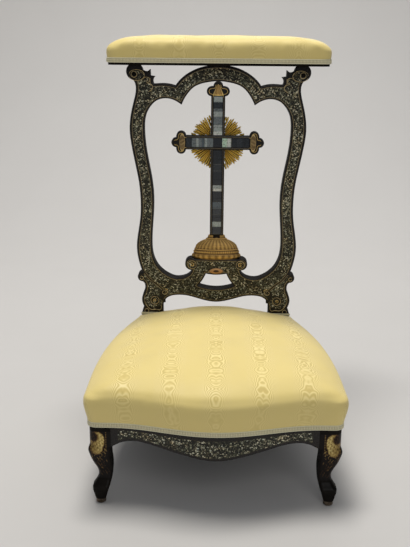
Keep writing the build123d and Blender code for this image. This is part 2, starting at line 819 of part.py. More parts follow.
def front_right_block():
    """Triangular block glued and screwed in the front corner, notched round the leg."""
    z0, z1 = block_heights()
    x = seat_half_width - rail_thickness
    y = seat_front_y + rail_thickness - seat_bow / 3
    reach = block_leg + rail_thickness
    corner = make_face(Polyline((x, y), (x - reach, y), (x, y + reach), close=True))
    block = extrude(Pos(0, 0, z0) * corner, amount=z1 - z0)
    block &= seat_prism(-rail_thickness - glue_gap, z0, z1)
    leg_x = front_leg_inner_x - glue_gap
    block -= bar(leg_x, seat_half_width, seat_front_y, front_leg_rear_y + glue_gap, z0, z1)
    for screw in block_screws(glue_gap):
        block -= screw
    return block


def rear_right_block():
    """Triangular block in the rear corner between the rails, notched round the post."""
    z0, z1 = block_heights()
    y = seat_rear_y - rail_thickness - glue_gap
    x = seat_half_width_at(back_face_y)
    reach = block_leg + rail_thickness
    corner = make_face(Polyline((x, y), (x - reach, y), (x, y - reach), close=True))
    block = extrude(Pos(0, 0, z0) * corner, amount=z1 - z0)
    inner = seat_prism(-rail_thickness - glue_gap, z0, z1)
    block &= inner + bar(-post_inner_x, post_inner_x - glue_gap, seat_middle_y, y, z0, z1)
    block -= bar(post_inner_x - glue_gap, post_outer_x, back_face_y - glue_gap, seat_rear_y, z0, z1)
    for screw in block_screws(glue_gap):
        block -= screw
    return block


def screw(x, y, z, turn, gap):
    """A countersunk screw whose head is at a place and whose point is ahead, turned in plan."""
    length = screw_length()
    body = Pos(0, 0, length / 2) * Cylinder(screw_radius + gap, length + 2 * gap)
    cone = Cone(screw_head_radius + gap, screw_radius + gap, screw_head_height)
    head = Pos(0, 0, screw_head_height / 2) * cone
    return Pos(x, y, z) * Rot(0, 0, turn) * Rot(0, 90, 0) * (body + head)


def screw_length():
    return screw_step + screw_bite


def block_screws(gap=0):
    """Two screws in each corner block, one into each rail."""
    z0, z1 = block_heights()
    low = z0 + block_height / 3
    high = z1 - block_height / 3
    screws = []
    side_x = seat_half_width - rail_thickness - screw_step
    front_x = front_leg_inner_x - screw_step
    front_y = seat_front_at(front_x) + rail_thickness + screw_step - screw_head_height
    side_y = front_leg_rear_y + screw_step / 2
    rear_side_y = back_face_y - screw_step
    rear_side_x = seat_half_width_at(rear_side_y) - rail_thickness - screw_step + screw_head_height
    rear_x = post_inner_x - screw_step / 2
    rear_y = seat_rear_y - rail_thickness - screw_step
    for side, turn in ((1, 0), (-1, 180)):
        screws.append(screw(side * side_x, side_y, low, turn, gap))
        screws.append(screw(side * front_x, front_y, high, -90, gap))
        screws.append(screw(side * rear_side_x, rear_side_y, low, turn, gap))
        screws.append(screw(side * rear_x, rear_y, high, 90, gap))
    return screws


# Webbing, springs and bottom cloth
def web_columns_x():
    return [web_column_pitch * (i - (web_columns - 1) / 2) for i in range(web_columns)]


def web_rows_y():
    return [seat_middle_y + web_row_pitch * (i - (web_rows - 1) / 2) for i in range(web_rows)]


def column_ends(x):
    """Front and rear ends of a strap that runs from the front rail to the rear rail."""
    return seat_front_at(x) + rail_thickness - web_lap + glue_gap, seat_rear_y - rail_thickness + web_lap


def row_end(y):
    """Half of the length of a strap that runs from side rail to side rail."""
    return seat_half_width_at(y + web_width / 2) - rail_thickness + web_lap


def lengthwise_webbing():
    """Straps from the front rail to the rear rail, tacked under the rails."""
    top = rail_bottom_height - glue_gap
    straps = []
    for x in web_columns_x():
        y0, y1 = column_ends(abs(x) + web_width / 2)
        strap = bar(x - web_width / 2, x + web_width / 2, y0, y1, top - web_thickness, top)
        for tack in web_tacks(glue_gap):
            strap -= tack
        straps.append(strap)
    return straps


def crosswise_webbing():
    """Straps from side rail to side rail, under the lengthwise ones."""
    top = rail_bottom_height - 2 * glue_gap - web_thickness
    straps = []
    for y in web_rows_y():
        half = row_end(y)
        strap = bar(-half, half, y - web_width / 2, y + web_width / 2, top - web_thickness, top)
        for tack in web_tacks(glue_gap):
            strap -= tack
        straps.append(strap)
    return straps


def tack(x, y, head_top, gap):
    """A tack driven up into a rail from below."""
    head = rod(x, y, head_top - tack_head_height, head_top, tack_head_radius)
    tip = head_top + tack_shank_length + gap
    shank = rod(x, y, head_top - tack_head_height, tip, tack_shank_radius + gap)
    return shank if gap else head + shank


def web_tacks(gap=0):
    """Two tacks at each end of every strap."""
    upper = rail_bottom_height - 2 * glue_gap - web_thickness
    lower = upper - web_thickness - glue_gap
    tacks = []
    for x in web_columns_x():
        y0, y1 = column_ends(abs(x) + web_width / 2)
        for y in (y0 + web_lap / 2, y1 - web_lap / 2):
            for side in (-1, 1):
                tacks.append(tack(x + side * tack_spacing / 2, y, upper, gap))
    for y in web_rows_y():
        half = row_end(y) - web_lap / 2
        for x in (-half, half):
            for side in (-1, 1):
                tacks.append(tack(x, y + side * tack_spacing / 2, lower, gap))
    return tacks


def seat_springs():
    """Coil springs on the crossings of the webbing, each on its strap's middle line, under the hessian."""
    base = rail_bottom_height - glue_gap + spring_wire_radius + cloth_gap
    springs = []
    for column, row in spring_place_shares:
        x = column * web_column_pitch
        y = seat_middle_y + row * web_row_pitch
        top = hessian_height_at(x, y) - spring_wire_radius - hessian_thickness - cloth_gap
        height = top - base
        path = Helix(pitch=height / spring_turns, height=height, radius=spring_radius)
        section = Plane(origin=path @ 0, z_dir=path % 0) * Circle(spring_wire_radius)
        coil = sweep(section, path=path, is_frenet=True)
        springs.append(Pos(x, y, base) * Rot(0, 0, 90) * coil)
    return springs


def crown_clearance(x, y, offset, row):
    """How far a ring of the crown lies outside a place, as a ratio: 1 where it passes through the place."""
    _, width, front, rear, droop, _ = row
    half_width = (seat_half_width_at(y) + offset) * width
    along = y - seat_middle_y
    if along < 0:
        reach = (seat_middle_y - seat_front_y + offset) * (1 - front)
    else:
        whole = seat_rear_y + offset - seat_middle_y
        corner_x = (seat_half_width_at(back_face_y) + offset) * width
        reach = whole * (1 - rear) - droop * whole * (x / corner_x) ** 2
    return min(half_width / max(x, overrun), reach / max(abs(along), overrun))


def hessian_height_at(x, y):
    """Height of the hessian at the outer edge of a spring, from the rings of its crown."""
    far_x = abs(x) + spring_radius
    far_y = y + spring_radius if y > seat_middle_y else y - spring_radius
    rise = 1
    for low, high in zip(crown_shares, crown_shares[1:]):
        outer = crown_clearance(far_x, far_y, -hessian_inset, low)
        inner = crown_clearance(far_x, far_y, -hessian_inset, high)
        if outer >= 1 > inner:
            rise = low[0] + (high[0] - low[0]) * (outer - 1) / (outer - inner)
    return rail_top_height + (hessian_crown_height - rail_top_height) * rise


def seat_hessian():
    """Cloth over the springs, domed, with its rim on the rails."""
    rim = rail_top_height + glue_gap
    outer = crowned(-hessian_inset, rim, hessian_crown_height)
    inner = crowned(-hessian_inset - hessian_thickness, rim - hessian_thickness,
                    hessian_crown_height - hessian_thickness)
    return outer - inner


def bottom_cloth():
    """Black cloth under the seat, cut out round the legs and posts."""
    top = rail_bottom_height - 3 * glue_gap - 2 * web_thickness - tack_head_height - glue_gap
    low = top - bottom_cloth_thickness
    cloth = seat_prism(-apron_lip_thickness - bottom_cloth_inset, low, top)
    leg_x = front_leg_inner_x - bottom_cloth_inset
    leg_y = front_leg_rear_y + bottom_cloth_inset
    post_x = post_inner_x - bottom_cloth_inset
    post_y = back_face_y - bottom_cloth_inset
    for side in (-1, 1):
        cloth -= bar(side * leg_x, side * seat_half_width, seat_front_y, leg_y, low, top)
        cloth -= bar(side * post_x, side * seat_half_width, post_y, seat_rear_y, low, top)
    return cloth


# Upholstery
def seat_stuffing():
    """Horsehair between the hessian and the cover."""
    floor = rail_top_height + cloth_gap
    filling = cushion(cloth_thickness + cloth_gap, floor - overrun)
    reach = seat_half_width * 2
    filling -= bar(-reach, reach, seat_front_y * 2, seat_rear_y * 2, floor - 2 * overrun, floor)
    rim = rail_top_height + glue_gap + cloth_gap
    hollow = crowned(-hessian_inset + cloth_gap, rim, hessian_crown_height + cloth_gap)
    hollow += seat_prism(-hessian_inset + cloth_gap, floor - overrun, rim)
    return filling - hollow


def seat_cover():
    """Silk cover drawn over the stuffing and down over the rails."""
    return cushion(0, cloth_line_height) - cushion(cloth_thickness, cloth_line_height - overrun)


def seat_braid():
    """Gimp along the lower edge of the cover, and a short length on the seat before each post."""
    inner = cloth_thickness + 2 * cloth_tight + cloth_gap
    z1 = cloth_line_height + braid_height
    band = seat_prism(inner + braid_thickness, cloth_line_height, z1)
    band -= seat_prism(inner, cloth_line_height - overrun, z1 + overrun)
    reach = seat_half_width * 2
    tail = back_face_y - cloth_gap
    around = band & bar(-reach, reach, seat_front_y * 2, tail, cloth_line_height, z1)
    back_half = post_inner_x - 2 * cloth_gap
    behind = band & bar(-back_half, back_half, seat_rear_y, seat_rear_y * 2, cloth_line_height, z1)
    strip_low = crease_height + cloth_gap
    strip_x = seat_half_width_at(back_face_y) + crease_overhang
    strip_y = tail - post_braid_depth
    strip = bar(post_inner_x, strip_x, strip_y, tail, strip_low, strip_low + post_braid_rise)
    strip -= cushion(-cloth_gap, cloth_line_height)
    return around.solids() + behind.solids() + strip.solids() + other_side(strip).solids()


# Armrest
def board_middle_y():
    return board_front_y + board_depth / 2


def pad_section(offset_x, offset_y, z, corner):
    face = RectangleRounded(board_width + 2 * offset_x, board_depth + 2 * offset_y, corner)
    return Pos(0, board_middle_y(), z) * face


def armrest_prism(offset, z0, z1):
    return extrude(pad_section(offset, offset, z0, board_corner + offset), amount=z1 - z0)


def pad(inset, bottom):
    """Outer form of the armrest's upholstery, or the form inside it by an inset."""
    full = braid_thickness + cloth_thickness + cloth_tight
    line = armrest_underside + armrest_cloth_rise
    side_top = line + (total_height - line) * armrest_side_rise_share
    tight = cloth_tight + cloth_thickness - inset
    behind_braid = line + braid_height + cloth_gap
    low = pad_section(tight, tight, bottom, board_corner + tight)
    middle = pad_section(tight, tight, behind_braid, board_corner + tight)
    high = pad_section(full - inset, full - inset, side_top - inset, board_corner + full - inset)
    sides = loft([low, middle, high], ruled=True)
    sections = [high]
    half = board_depth / 2
    for across, along, rise in armrest_crown_shares[1:]:
        offset_x = full - inset - across * half
        offset_y = full - inset - along * half
        corner = (half + offset_y) * armrest_corner_share
        height = side_top + (total_height - side_top) * rise - inset
        sections.append(pad_section(offset_x, offset_y, height, corner))
    return sides + loft(sections)


def armrest_board():
    board = armrest_prism(0, armrest_underside, armrest_underside + board_thickness)
    for dowel in armrest_dowels(glue_gap):
        board -= dowel
    return board


def armrest_stuffing():
    floor = armrest_underside + board_thickness + cloth_gap
    filling = pad(cloth_thickness + cloth_gap, floor - overrun)
    return filling - armrest_prism(overrun, floor - 2 * overrun, floor)


def armrest_cover():
    line = armrest_underside + armrest_cloth_rise
    return pad(0, line) - pad(cloth_thickness, line - overrun)


def armrest_braid():
    line = armrest_underside + armrest_cloth_rise
    inner = cloth_thickness + 2 * cloth_tight + cloth_gap
    outer = armrest_prism(inner + braid_thickness, line, line + braid_height)
    return outer - armrest_prism(inner, line - overrun, line + braid_height + overrun)


# Glides
def glide(x, y):
    """A domed metal glide with its pin, under a foot."""
    body = rod(x, y, 0, glide_height - glue_gap, glide_radius)
    body = chamfer(body.edges().sort_by(Axis.Z)[0], length=glide_edge)
    return body + rod(x, y, glide_height - glide_edge, glide_height + glide_pin_length, glide_pin_radius)


def front_glide_pin(gap):
    return rod(front_glide_x, front_glide_y, glide_height - overrun, glide_height + glide_pin_length + gap,
               glide_pin_radius + gap)


def rear_glide_place():
    return (rear_foot_inner_x + rear_foot_outer_x) / 2, (rear_foot_front_y + rear_foot_rear_y) / 2


def rear_glide_pin(gap):
    x, y = rear_glide_place()
    return rod(x, y, glide_height - overrun, glide_height + glide_pin_length + gap, glide_pin_radius + gap)


def build():
    """Every node of the chair, by name."""
    upright = right_upright()
    front_leg = right_front_leg()
    side_rail = right_seat_rail()
    front_block = front_right_block()
    rear_block = rear_right_block()
    front_glide = glide(front_glide_x, front_glide_y)
    rear_glide = glide(*rear_glide_place())
    return {
        "right_upright": upright,
        "left_upright": other_side(upright),
        "crest_rail": crest_rail(),
        "lower_back_rail": lower_back_rail(),
        "cross_post": cross_post(),
        "cross_arm": cross_arm(),
        "post_pearl_tiles": post_tiles(),
        "arm_pearl_tiles": arm_tiles(),
        "cross_top_pin": cross_pin(),
        "upper_right_rays": glory(1, 1),
        "upper_left_rays": glory(-1, 1),
        "lower_right_rays": glory(1, -1),
        "lower_left_rays": glory(-1, -1),
        "cross_mound": cross_mound(),
        "mound_dowels": mound_dowels(),
        "armrest_board": armrest_board(),
        "armrest_stuffing": armrest_stuffing(),
        "armrest_cover": armrest_cover(),
        "armrest_braid": armrest_braid(),
        "armrest_dowels": armrest_dowels(),
        "right_front_leg": front_leg,
        "left_front_leg": other_side(front_leg),
        "front_seat_rail": front_seat_rail(),
        "right_seat_rail": side_rail,
        "left_seat_rail": other_side(side_rail),
        "rear_seat_rail": rear_seat_rail(),
        "front_right_block": front_block,
        "front_left_block": other_side(front_block),
        "rear_right_block": rear_block,
        "rear_left_block": other_side(rear_block),
        "block_screws": block_screws(),
        "lengthwise_webbing": lengthwise_webbing(),
        "crosswise_webbing": crosswise_webbing(),
        "webbing_tacks": web_tacks(),
        "seat_springs": seat_springs(),
        "seat_hessian": seat_hessian(),
        "seat_stuffing": seat_stuffing(),
        "seat_cover": seat_cover(),
        "seat_braid": seat_braid(),
        "bottom_cloth": bottom_cloth(),
        "right_front_glide": front_glide,
        "left_front_glide": other_side(front_glide),
        "right_rear_glide": rear_glide,
        "left_rear_glide": other_side(rear_glide),
    }


def main():
    os.makedirs("parts", exist_ok=True)
    for name, piece in build().items():
        if isinstance(piece, list):
            piece = Compound(children=piece)
        export_step(piece, "parts/" + name + ".step")
        print(name, len(piece.solids()), round(piece.volume))


main()
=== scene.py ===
"""The looks of a prie-dieu, laid over its solids in their own frame."""
import math

import bmesh
import bpy
import numpy as np
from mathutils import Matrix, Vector
from mathutils.bvhtree import BVHTree
from mathutils.geometry import delaunay_2d_cdt


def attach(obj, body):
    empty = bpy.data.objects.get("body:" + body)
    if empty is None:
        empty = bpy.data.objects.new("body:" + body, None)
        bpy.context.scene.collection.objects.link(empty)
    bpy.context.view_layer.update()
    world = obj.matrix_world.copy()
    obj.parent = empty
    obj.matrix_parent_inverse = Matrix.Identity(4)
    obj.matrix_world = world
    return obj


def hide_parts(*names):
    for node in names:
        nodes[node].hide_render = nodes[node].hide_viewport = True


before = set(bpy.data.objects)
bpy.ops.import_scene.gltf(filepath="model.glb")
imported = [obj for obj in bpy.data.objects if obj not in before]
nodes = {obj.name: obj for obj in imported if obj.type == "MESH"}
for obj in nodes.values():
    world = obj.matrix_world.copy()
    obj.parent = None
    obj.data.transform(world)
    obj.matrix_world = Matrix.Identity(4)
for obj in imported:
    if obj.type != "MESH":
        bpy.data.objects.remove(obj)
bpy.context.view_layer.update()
rng = np.random.default_rng(7)

# Places and sizes shared with the solids, in millimetres
MM = 0.001
BACK_Y = 220.0
CROSS_Y = 223.0
ARM_Z = 607.5
CROSS_HALF = 15.6
SEAT_HALF_X = 227
SEAT_REAR_HALF_X = 165
SEAT_FRONT_Y = -255
SEAT_REAR_Y = 245
SEAT_MIDDLE_Y = -25.0
SEAT_CORNER = 14
NOTCH_X = 121.7
CLOTH_Z = 155.0
CREASE_Z = 209.0
CROWN_Z = 262.0
REST_HALF_X = 232
REST_HALF_Y = 60
REST_CORNER = 24
REST_Y = 216
REST_Z = 778.0
TOP_Z = 834.0


# Shader nodes
def feed(tree, socket, value):
    if isinstance(value, bpy.types.NodeSocket):
        tree.links.new(value, socket)
    else:
        socket.default_value = value


def add_node(tree, kind, settings=(), **inputs):
    """A new node with its settings, and its inputs by name."""
    node = tree.nodes.new("ShaderNode" + kind)
    for key, value in dict(settings).items():
        setattr(node, key, value)
    for key, value in inputs.items():
        feed(tree, node.inputs[key.replace("_", " ")], value)
    return node


class Shade:
    """A procedural material: a principled shader and short calls for the nodes that feed it."""

    def __init__(self, name, **inputs):
        self.material = bpy.data.materials.new(name)
        self.material.use_nodes = True
        self.tree = self.material.node_tree
        self.tree.nodes.clear()
        self.shader = self.add("BsdfPrincipled", **inputs)
        self.tree.links.new(self.shader.outputs[0], self.add("OutputMaterial").inputs[0])
        coords = self.add("TexCoord").outputs
        self.object = self.scaled(coords["Object"], (1000, 1000, 1000))
        self.uv = self.scaled(coords["UV"], (1000, 1000, 1000))

    def add(self, kind, settings=(), **inputs):
        return add_node(self.tree, kind, settings, **inputs)

    def in_order(self, node, *values):
        """Feeds a node's first inputs and returns its first output."""
        for socket, value in zip(node.inputs, values):
            feed(self.tree, socket, value)
        return node.outputs[0]

    def scaled(self, vector, scale):
        return self.add("Mapping", Vector=vector, Scale=scale).outputs[0]

    def noise(self, scale, vector=None, detail=3, roughness=0.5, distortion=0):
        node = self.add("TexNoise", Vector=vector or self.object, Scale=scale, Detail=detail,
                        Roughness=roughness, Distortion=distortion)
        return node.outputs["Fac"]

    def cells(self, scale, vector, feature="F1", output="Color"):
        return self.add("TexVoronoi", {"feature": feature}, Vector=vector, Scale=scale).outputs[output]

    def attribute(self, name, output="Fac"):
        return self.add("Attribute", {"attribute_name": name}).outputs[output]

    def split(self, vector):
        return self.add("SeparateXYZ", Vector=vector).outputs

    def join(self, x, y, z):
        return self.in_order(self.add("CombineXYZ"), x, y, z)

    def math(self, operation, *values, clamp=False):
        return self.in_order(self.add("Math", {"operation": operation, "use_clamp": clamp}), *values)

    def plus(self, a, b, clamp=False):
        return self.math("ADD", a, b, clamp=clamp)

    def minus(self, a, b, clamp=False):
        return self.math("SUBTRACT", a, b, clamp=clamp)

    def times(self, a, b):
        return self.math("MULTIPLY", a, b)

    def over(self, a, b):
        return self.math("DIVIDE", a, b)

    def worn(self, height, speckle, wear):
        """The height, lowered and raised by a speckle about its middle."""
        return self.plus(height, self.times(self.minus(speckle, 0.5), wear), clamp=True)

    def ramp(self, value, stops):
        node = self.add("ValToRGB", Fac=value)
        elements = node.color_ramp.elements
        while len(elements) < len(stops):
            elements.new(0.5)
        for element, (position, colour) in zip(elements, stops):
            element.position = position
            element.color = (*colour, 1)
        return node.outputs[0]

    def span(self, value, low, high, to_low=0, to_high=1):
        node = self.add("MapRange", {"clamp": True}, Value=value, From_Min=low, From_Max=high, To_Min=to_low,
                        To_Max=to_high)
        return node.outputs[0]

    def mix(self, factor, a, b, blend="MIX"):
        node = self.add("Mix", {"data_type": "RGBA", "blend_type": blend})
        for index, value in ((0, factor), (6, a), (7, b)):
            feed(self.tree, node.inputs[index], (*value, 1) if isinstance(value, tuple) else value)
        return node.outputs[2]

    def finish(self, colour, rough=None, bump=None, metal=None):
        """Feeds the shader; bump is a height, its distance in millimetres and its strength."""
        if bump:
            height, distance, strength = bump
            bump = self.add("Bump", Height=height, Distance=distance * MM, Strength=strength).outputs[0]
        fed = {"Base Color": colour, "Roughness": rough, "Normal": bump, "Metallic": metal}
        for key, value in fed.items():
            if value is not None:
                feed(self.tree, self.shader.inputs[key], value)
        return self.material


# Materials
def dimmed(colour, share):
    """A colour made darker, or lighter with a share above one."""
    return tuple(min(1, share * c) for c in colour)


def lacquer_material():
    s = Shade("black_lacquer", Coat_Weight=0.13, Coat_Roughness=0.22, Specular_IOR_Level=0)
    wide = s.noise(0.03, detail=4)
    fine = s.noise(0.6, detail=4)
    tone = s.ramp(wide, [(0.35, (0.007, 0.006, 0.005)), (0.7, (0.015, 0.012, 0.009))])
    return s.finish(tone, s.span(fine, 0.3, 0.7, 0.36, 0.55), (s.plus(fine, s.times(wide, 3)), 0.12, 0.5))


def chip_colours(s):
    """Flakes of mother-of-pearl in a dark ground, as a colour, a shine and the seams between them."""
    across, _, up = s.split(s.object)
    flat = s.join(across, 0, up)
    drift = s.add("TexNoise", Vector=flat, Scale=0.25).outputs["Color"]
    place = s.in_order(s.add("VectorMath", {"operation": "ADD"}), flat, drift)
    large = s.split(s.cells(0.4, place))
    small = s.split(s.cells(0.9, place))
    shine = s.plus(s.times(large[0], 0.66), s.times(small[0], 0.34))
    # Painted light: the chips are made a little lighter higher up the back and darker low down
    shine = s.plus(shine, s.span(up, 330, 640, -0.01, 0.02))
    shine = s.plus(shine, s.span(s.noise(0.03, detail=1), 0.35, 0.65, -0.04, 0.04))
    tone = s.ramp(shine, [
        (0, (0.004, 0.004, 0.003)), (0.4, (0.01, 0.01, 0.007)), (0.53, (0.036, 0.037, 0.026)),
        (0.66, (0.088, 0.09, 0.064)), (0.77, (0.21, 0.21, 0.16)), (0.84, (0.6, 0.59, 0.48)),
        (0.91, (1, 0.98, 0.88)),
    ])
    hue = s.ramp(large[1], [
        (0, (0.88, 0.91, 0.74)), (0.35, (1, 0.97, 0.86)), (0.7, (1, 0.88, 0.68)), (1, (0.87, 0.94, 0.93)),
    ])
    tone = s.mix(1, tone, hue, "MULTIPLY")
    browned = s.mix(1, tone, (0.95, 0.72, 0.42), "MULTIPLY")
    tone = s.mix(s.span(s.noise(0.045, detail=2), 0.5, 0.68, 0, 0.5), tone, browned)
    return tone, shine, s.cells(0.4, place, "DISTANCE_TO_EDGE", "Distance")


def inlay_material(name, border, line, line_colour, end_colour=None, chips=True):
    """Black rim, thin gilt line and a field inside it, laid out by the distance to the edge."""
    s = Shade(name, Coat_Weight=0.12, Coat_Roughness=0.15, Specular_IOR_Level=0.25)
    edge, dark, wide = (s.attribute(key) for key in ("edge", "dark", "wide"))
    waver = s.plus(edge, s.times(s.minus(s.noise(0.12), 0.5), 0.8))
    far = s.minus(waver, s.times(wide, 0.5))
    field = s.span(far, border + line, border + line + 0.25)
    on_line = s.times(s.span(waver, border - 0.2, border), s.minus(1, field))
    lit = s.minus(1, dark, clamp=True)
    field = s.times(field, lit)
    on_line = s.times(s.times(on_line, lit), s.span(s.noise(0.35), 0.3, 0.55, 0.6, 1))
    black = s.ramp(s.noise(0.4), [(0.3, (0.006, 0.005, 0.005)), (0.7, (0.015, 0.012, 0.009))])
    colour = s.mix(on_line, black, s.mix(wide, line_colour, end_colour or line_colour))
    if chips:
        tone, shine, seams = chip_colours(s)
        colour = s.mix(field, colour, tone)
        rough = s.span(shine, 0.3, 0.8, 0.42, 0.2)
        height = s.times(s.span(seams, 0, 0.18), field)
        bump = (s.plus(height, s.times(s.noise(0.5), 0.6)), 0.25, 0.6)
    else:
        rough = s.span(s.noise(0.5), 0.3, 0.7, 0.24, 0.4)
        bump = (on_line, 0.2, 0.5)
    return s.finish(colour, rough, bump, metal=s.times(on_line, 0.4))


def gilt_material(name, bright, deep, roughness=0.36, metal=0.8, wear=0.55):
    """Gilding, brown where the height attribute is low: painted light and shade on the rays, worn by a
    speckle.
    """
    s = Shade(name, Specular_IOR_Level=0.5)
    speckle = s.noise(0.5, detail=5, roughness=0.7)
    worn = s.worn(s.attribute("height"), speckle, wear)
    tone = s.ramp(worn, [(0.05, dimmed(deep, 0.25)), (0.35, deep), (0.75, bright), (1, dimmed(bright, 1.25))])
    tone = s.mix(s.span(s.noise(0.06), 0.45, 0.7, 0, 0.45), tone, dimmed(bright, 0.55))
    rough = s.span(speckle, 0.3, 0.7, roughness, roughness + 0.18)
    bump = (s.plus(s.times(speckle, 0.6), s.noise(1.4)), 0.25, 0.6)
    return s.finish(tone, rough, bump, metal=s.span(worn, 0.2, 0.6, 0.45 * metal, metal))


def painted_gilding_material():
    """Lacquer with gilding painted on it where the height attribute is high."""
    s = Shade("painted_gilding", Coat_Weight=0.05, Coat_Roughness=0.16, Specular_IOR_Level=0.1)
    speckle = s.noise(0.5, detail=4, roughness=0.65)
    worn = s.worn(s.attribute("height"), speckle, 0.4)
    tone = s.ramp(worn, [
        (0.1, (0.008, 0.006, 0.005)), (0.25, (0.07, 0.035, 0.016)), (0.5, (0.32, 0.22, 0.07)),
        (0.85, (0.76, 0.62, 0.26)),
    ])
    bump = (s.plus(worn, s.times(speckle, 0.4)), 0.25, 0.6)
    return s.finish(tone, s.span(speckle, 0.3, 0.7, 0.3, 0.45), bump, metal=s.span(worn, 0.25, 0.6, 0, 0.45))


def tile_material():
    """Polished mother-of-pearl whose tone comes with each tile."""
    s = Shade("mother_of_pearl", Coat_Weight=0.6, Coat_Roughness=0.06, Specular_IOR_Level=0.5)
    bands = s.noise(0.16, detail=4, distortion=1.6)
    cloud = s.noise(0.3)
    greys = ((0.32, 0.55), (0.45, 0.9), (0.52, 1.3), (0.6, 0.85), (0.72, 1.1))
    wave = s.ramp(bands, [(place, (grey, grey, grey)) for place, grey in greys])
    tint = s.ramp(cloud, [(0.3, (0.84, 1, 0.94)), (0.5, (1, 1, 1)), (0.7, (1, 0.93, 0.95))])
    tone = s.mix(1, s.mix(1, s.attribute("tone", "Color"), wave, "MULTIPLY"), tint, "MULTIPLY")
    return s.finish(tone, s.span(cloud, 0.3, 0.7, 0.12, 0.3), (bands, 0.2, 0.4))


def silk_material():
    """Pale yellow watered silk: columns of nested ovals between fine wavy lines, on a fine rib."""
    s = Shade("yellow_silk", Sheen_Weight=0.2, Sheen_Roughness=0.4, Specular_IOR_Level=0.3)
    across, along, _ = s.split(s.uv)
    up = s.split(s.object)[2]
    pitch = 82
    oval_wide, oval_high = 36, 20
    aside = s.math("PINGPONG", across, pitch / 2)
    number = s.math("ROUND", s.over(across, pitch))
    plane = s.join(s.over(aside, oval_wide), s.over(along, oval_high), s.times(number, 3.7))
    field = s.noise(1, plane, detail=1, roughness=0.35)
    crowd = s.math("POWER", s.over(aside, 20), 2.4)
    water = s.math("SINE", s.times(s.plus(s.times(field, 8), s.times(crowd, 3.6)), math.tau))
    patch = s.span(s.noise(0.02, s.join(across, along, 5), detail=1), 0.35, 0.6, 0.6, 1)
    patch = s.times(patch, s.span(up, 200, 232, 0.35, 1))
    patch = s.times(patch, s.span(up, 400, 700, 1, 0.45))
    strength = s.times(s.span(aside, 24, 30, 1, 0.2), patch)
    light = s.plus(s.times(s.times(water, strength), 0.5), 0.5)
    tone = s.ramp(light, [(0, (0.66, 0.515, 0.175)), (0.5, (0.79, 0.64, 0.245)), (1, (0.92, 0.77, 0.35))])
    tone = s.mix(s.span(s.noise(0.012), 0.5, 0.75, 0, 0.1), tone, (0.5, 0.42, 0.22))
    rib = s.math("SINE", s.times(along, 9))
    thread = s.noise(1.2, s.join(s.times(across, 0.3), along, 0), detail=2)
    fine = s.plus(s.times(rib, 0.12), s.times(thread, 0.4))
    fine = s.plus(fine, s.times(s.noise(0.085, detail=2), 3.5))
    return s.finish(tone, s.span(light, 0.1, 0.9, 0.6, 0.46), (s.plus(fine, s.times(light, 0.3)), 0.12, 0.5))


def braid_material():
    s = Shade("cream_braid", Sheen_Weight=0.3, Sheen_Roughness=0.5, Specular_IOR_Level=0.3)
    thread = s.noise(1.4)
    # The height attribute is painted shade: dark in the grooves and between the ribs, light on the crests
    tone = s.ramp(s.attribute("height"), [
        (0, (0.3, 0.26, 0.14)), (0.5, (0.68, 0.63, 0.41)), (1, (0.94, 0.9, 0.66)),
    ])
    tone = s.mix(s.span(thread, 0.35, 0.7, 0, 0.3), tone, (0.6, 0.54, 0.34))
    return s.finish(tone, s.span(thread, 0.3, 0.7, 0.62, 0.85), (thread, 0.25, 0.7))


def plain_wood_material():
    s = Shade("plain_beech", Specular_IOR_Level=0.3)
    stretched = s.scaled(s.object, (1, 0.08, 1))
    grain = s.noise(0.35, stretched, detail=6, distortion=0.6)
    fleck = s.noise(1.6, stretched, detail=2)
    tone = s.ramp(grain, [(0.3, (0.3, 0.19, 0.1)), (0.55, (0.46, 0.32, 0.19)), (0.75, (0.54, 0.39, 0.24))])
    tone = s.mix(s.span(fleck, 0.55, 0.7, 0, 0.4), tone, (0.25, 0.16, 0.09))
    return s.finish(tone, s.span(grain, 0.3, 0.7, 0.6, 0.8), (grain, 0.2, 0.5))


def metal_material(name, light, dark, roughness):
    s = Shade(name, Metallic=1)
    fine = s.noise(0.9, detail=5, roughness=0.65)
    tone = s.ramp(fine, [(0.3, dark), (0.65, light)])
    tone = s.mix(s.span(s.noise(0.12), 0.4, 0.65), tone, dimmed(dark, 0.6))
    return s.finish(tone, s.span(fine, 0.3, 0.7, roughness, roughness + 0.25), (fine, 0.15, 0.5))


def cloth_material(name, light, dark, pitch):
    """Plain weave: threads of two directions, over and under."""
    s = Shade(name, Sheen_Weight=0.1, Specular_IOR_Level=0.2)
    x, y, z = s.split(s.object)
    warp = s.math("SINE", s.times(s.plus(x, s.times(z, 0.3)), math.tau / pitch))
    weft = s.math("SINE", s.times(s.plus(y, s.times(z, 0.7)), math.tau / pitch))
    weave = s.span(s.times(warp, weft), -1, 1)
    slub = s.noise(0.3, detail=4)
    tone = s.mix(s.span(slub, 0.35, 0.7, 0, 0.6), s.ramp(weave, [(0.1, dark), (0.8, light)]), dark)
    return s.finish(tone, s.span(slub, 0.3, 0.7, 0.8, 0.95), (s.plus(weave, s.times(slub, 0.4)), 0.3, 0.8))


lacquer = lacquer_material()
pearl_inlay = inlay_material("pearl_inlay", 3.5, 0.9, (0.3, 0.235, 0.13))
apron_pearl = inlay_material("apron_pearl", 3.6, 0.05, (0.05, 0.04, 0.02))
cross_inlay = inlay_material("cross_inlay", 2.8, 0.4, (0.24, 0.2, 0.14), (0.66, 0.45, 0.15), chips=False)
gilding = gilt_material("gilding", (0.92, 0.63, 0.22), (0.34, 0.19, 0.055), metal=0.45)
dull_gilding = gilt_material("dull_gilding", (0.56, 0.41, 0.18), (0.15, 0.09, 0.035), 0.42, 0.5)
mound_gilding = gilt_material("mound_gilding", (0.58, 0.36, 0.11), (0.15, 0.075, 0.02), 0.36, 0.6, 0.8)
ray_gilding = gilt_material("ray_gilding", (1, 0.66, 0.14), (0.2, 0.1, 0.02), 0.24, 0.3, 0.25)
line_gilding = gilt_material("line_gilding", (0.62, 0.49, 0.26), (0.2, 0.14, 0.07), 0.4)
